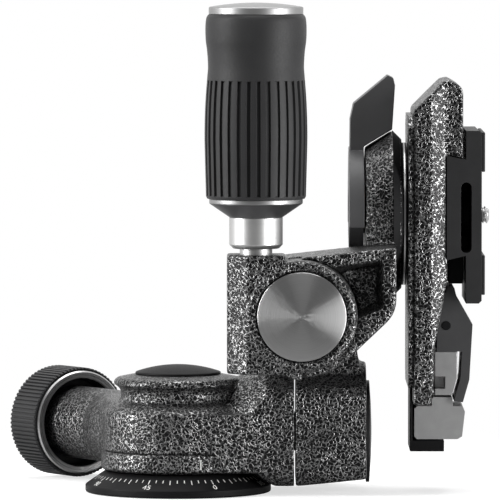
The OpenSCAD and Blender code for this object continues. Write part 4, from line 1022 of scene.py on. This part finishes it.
def hang_lamp(name, centre, offset, power, wide, tall):
    """A soft lamp at an offset from the head's centre, turned towards it. Lengths are in metres."""
    data = bpy.data.lights.new(name, "AREA")
    data.shape = "RECTANGLE"
    data.size = wide
    data.size_y = tall
    data.energy = power
    lamp = bpy.data.objects.new(name, data)
    lamp.location = centre + Vector(offset)
    lamp.rotation_euler = (-Vector(offset)).to_track_quat("-Z", "Y").to_euler()
    bpy.context.scene.collection.objects.link(lamp)


def set_camera(stage):
    """A camera far in front and a little above, as the photograph was taken."""
    eye, target = Vector((0.0257, -2.432, 0.2137)), Vector((0.0257, 0, 0.0863))
    data = bpy.data.cameras.new("camera")
    data.lens = stage.focal / MM
    data.sensor_width = 36
    data.clip_end = 20
    camera = bpy.data.objects.new("camera", data)
    camera.location = eye
    camera.rotation_euler = (target - eye).to_track_quat("-Z", "Y").to_euler()
    bpy.context.scene.collection.objects.link(camera)
    bpy.context.scene.camera = camera


class HEAD_OT_stage(bpy.types.Operator):
    """Sets the pale floor, the soft lamps, the white surround and the camera"""

    bl_idname = "head.stage"
    bl_label = "Stage"

    def execute(self, context):
        stage = context.scene.head_stage
        low, high = CAD_BOX
        centre = (low + high) / 2
        lay_floor(stage, low.z)
        hang_surround(stage)
        hang_lamp("lamp_left", centre, (-1.1, -0.35, 0.3), stage.left_power, 0.4, 1.1)
        hang_lamp("lamp_right", centre, (1.0, -0.6, -0.1), stage.right_power, 0.4, 1.1)
        hang_lamp("lamp_top", centre, (0.0, 0.1, 1.2), stage.top_power, 1.2, 0.9)
        hang_lamp("lamp_front", centre, (0.0, -0.75, 1.05), stage.front_power, 0.7, 0.4)
        set_camera(stage)
        context.scene.view_settings.view_transform = "Standard"
        return {"FINISHED"}


# Panel and registration

class HEAD_PT_panel(bpy.types.Panel):
    """Lists the settings, and the steps that dress the head."""

    bl_idname = "HEAD_PT_panel"
    bl_label = "Fluid video head"
    bl_space_type = "VIEW_3D"
    bl_region_type = "UI"
    bl_category = "Video Head"

    def draw(self, context):
        for group in GROUPS:
            settings = getattr(context.scene, group)
            box = self.layout.box()
            for key in settings.__annotations__:
                box.prop(settings, key)
        for step in STEPS:
            self.layout.operator(step.bl_idname)


STEPS = (HEAD_OT_inner_parts, HEAD_OT_castings, HEAD_OT_base, HEAD_OT_knobs, HEAD_OT_handle, HEAD_OT_caps,
         HEAD_OT_levers, HEAD_OT_plate, HEAD_OT_stage)
GROUPS = {"head_sizes": HeadSizes, "head_colours": HeadColours, "head_stage": StageSettings}


def register():
    for made in (*GROUPS.values(), *STEPS, HEAD_PT_panel):
        bpy.utils.register_class(made)
    for name, group in GROUPS.items():
        setattr(bpy.types.Scene, name, PointerProperty(type=group))


def unregister():
    for name in GROUPS:
        delattr(bpy.types.Scene, name)
    for made in reversed((*GROUPS.values(), *STEPS, HEAD_PT_panel)):
        bpy.utils.unregister_class(made)


def main():
    register()
    bpy.ops.head.inner_parts()
    bpy.ops.head.castings()
    bpy.ops.head.base()
    bpy.ops.head.knobs()
    bpy.ops.head.handle()
    bpy.ops.head.caps()
    bpy.ops.head.levers()
    bpy.ops.head.plate()
    bpy.ops.head.stage()


if __name__ == "__main__":
    main()
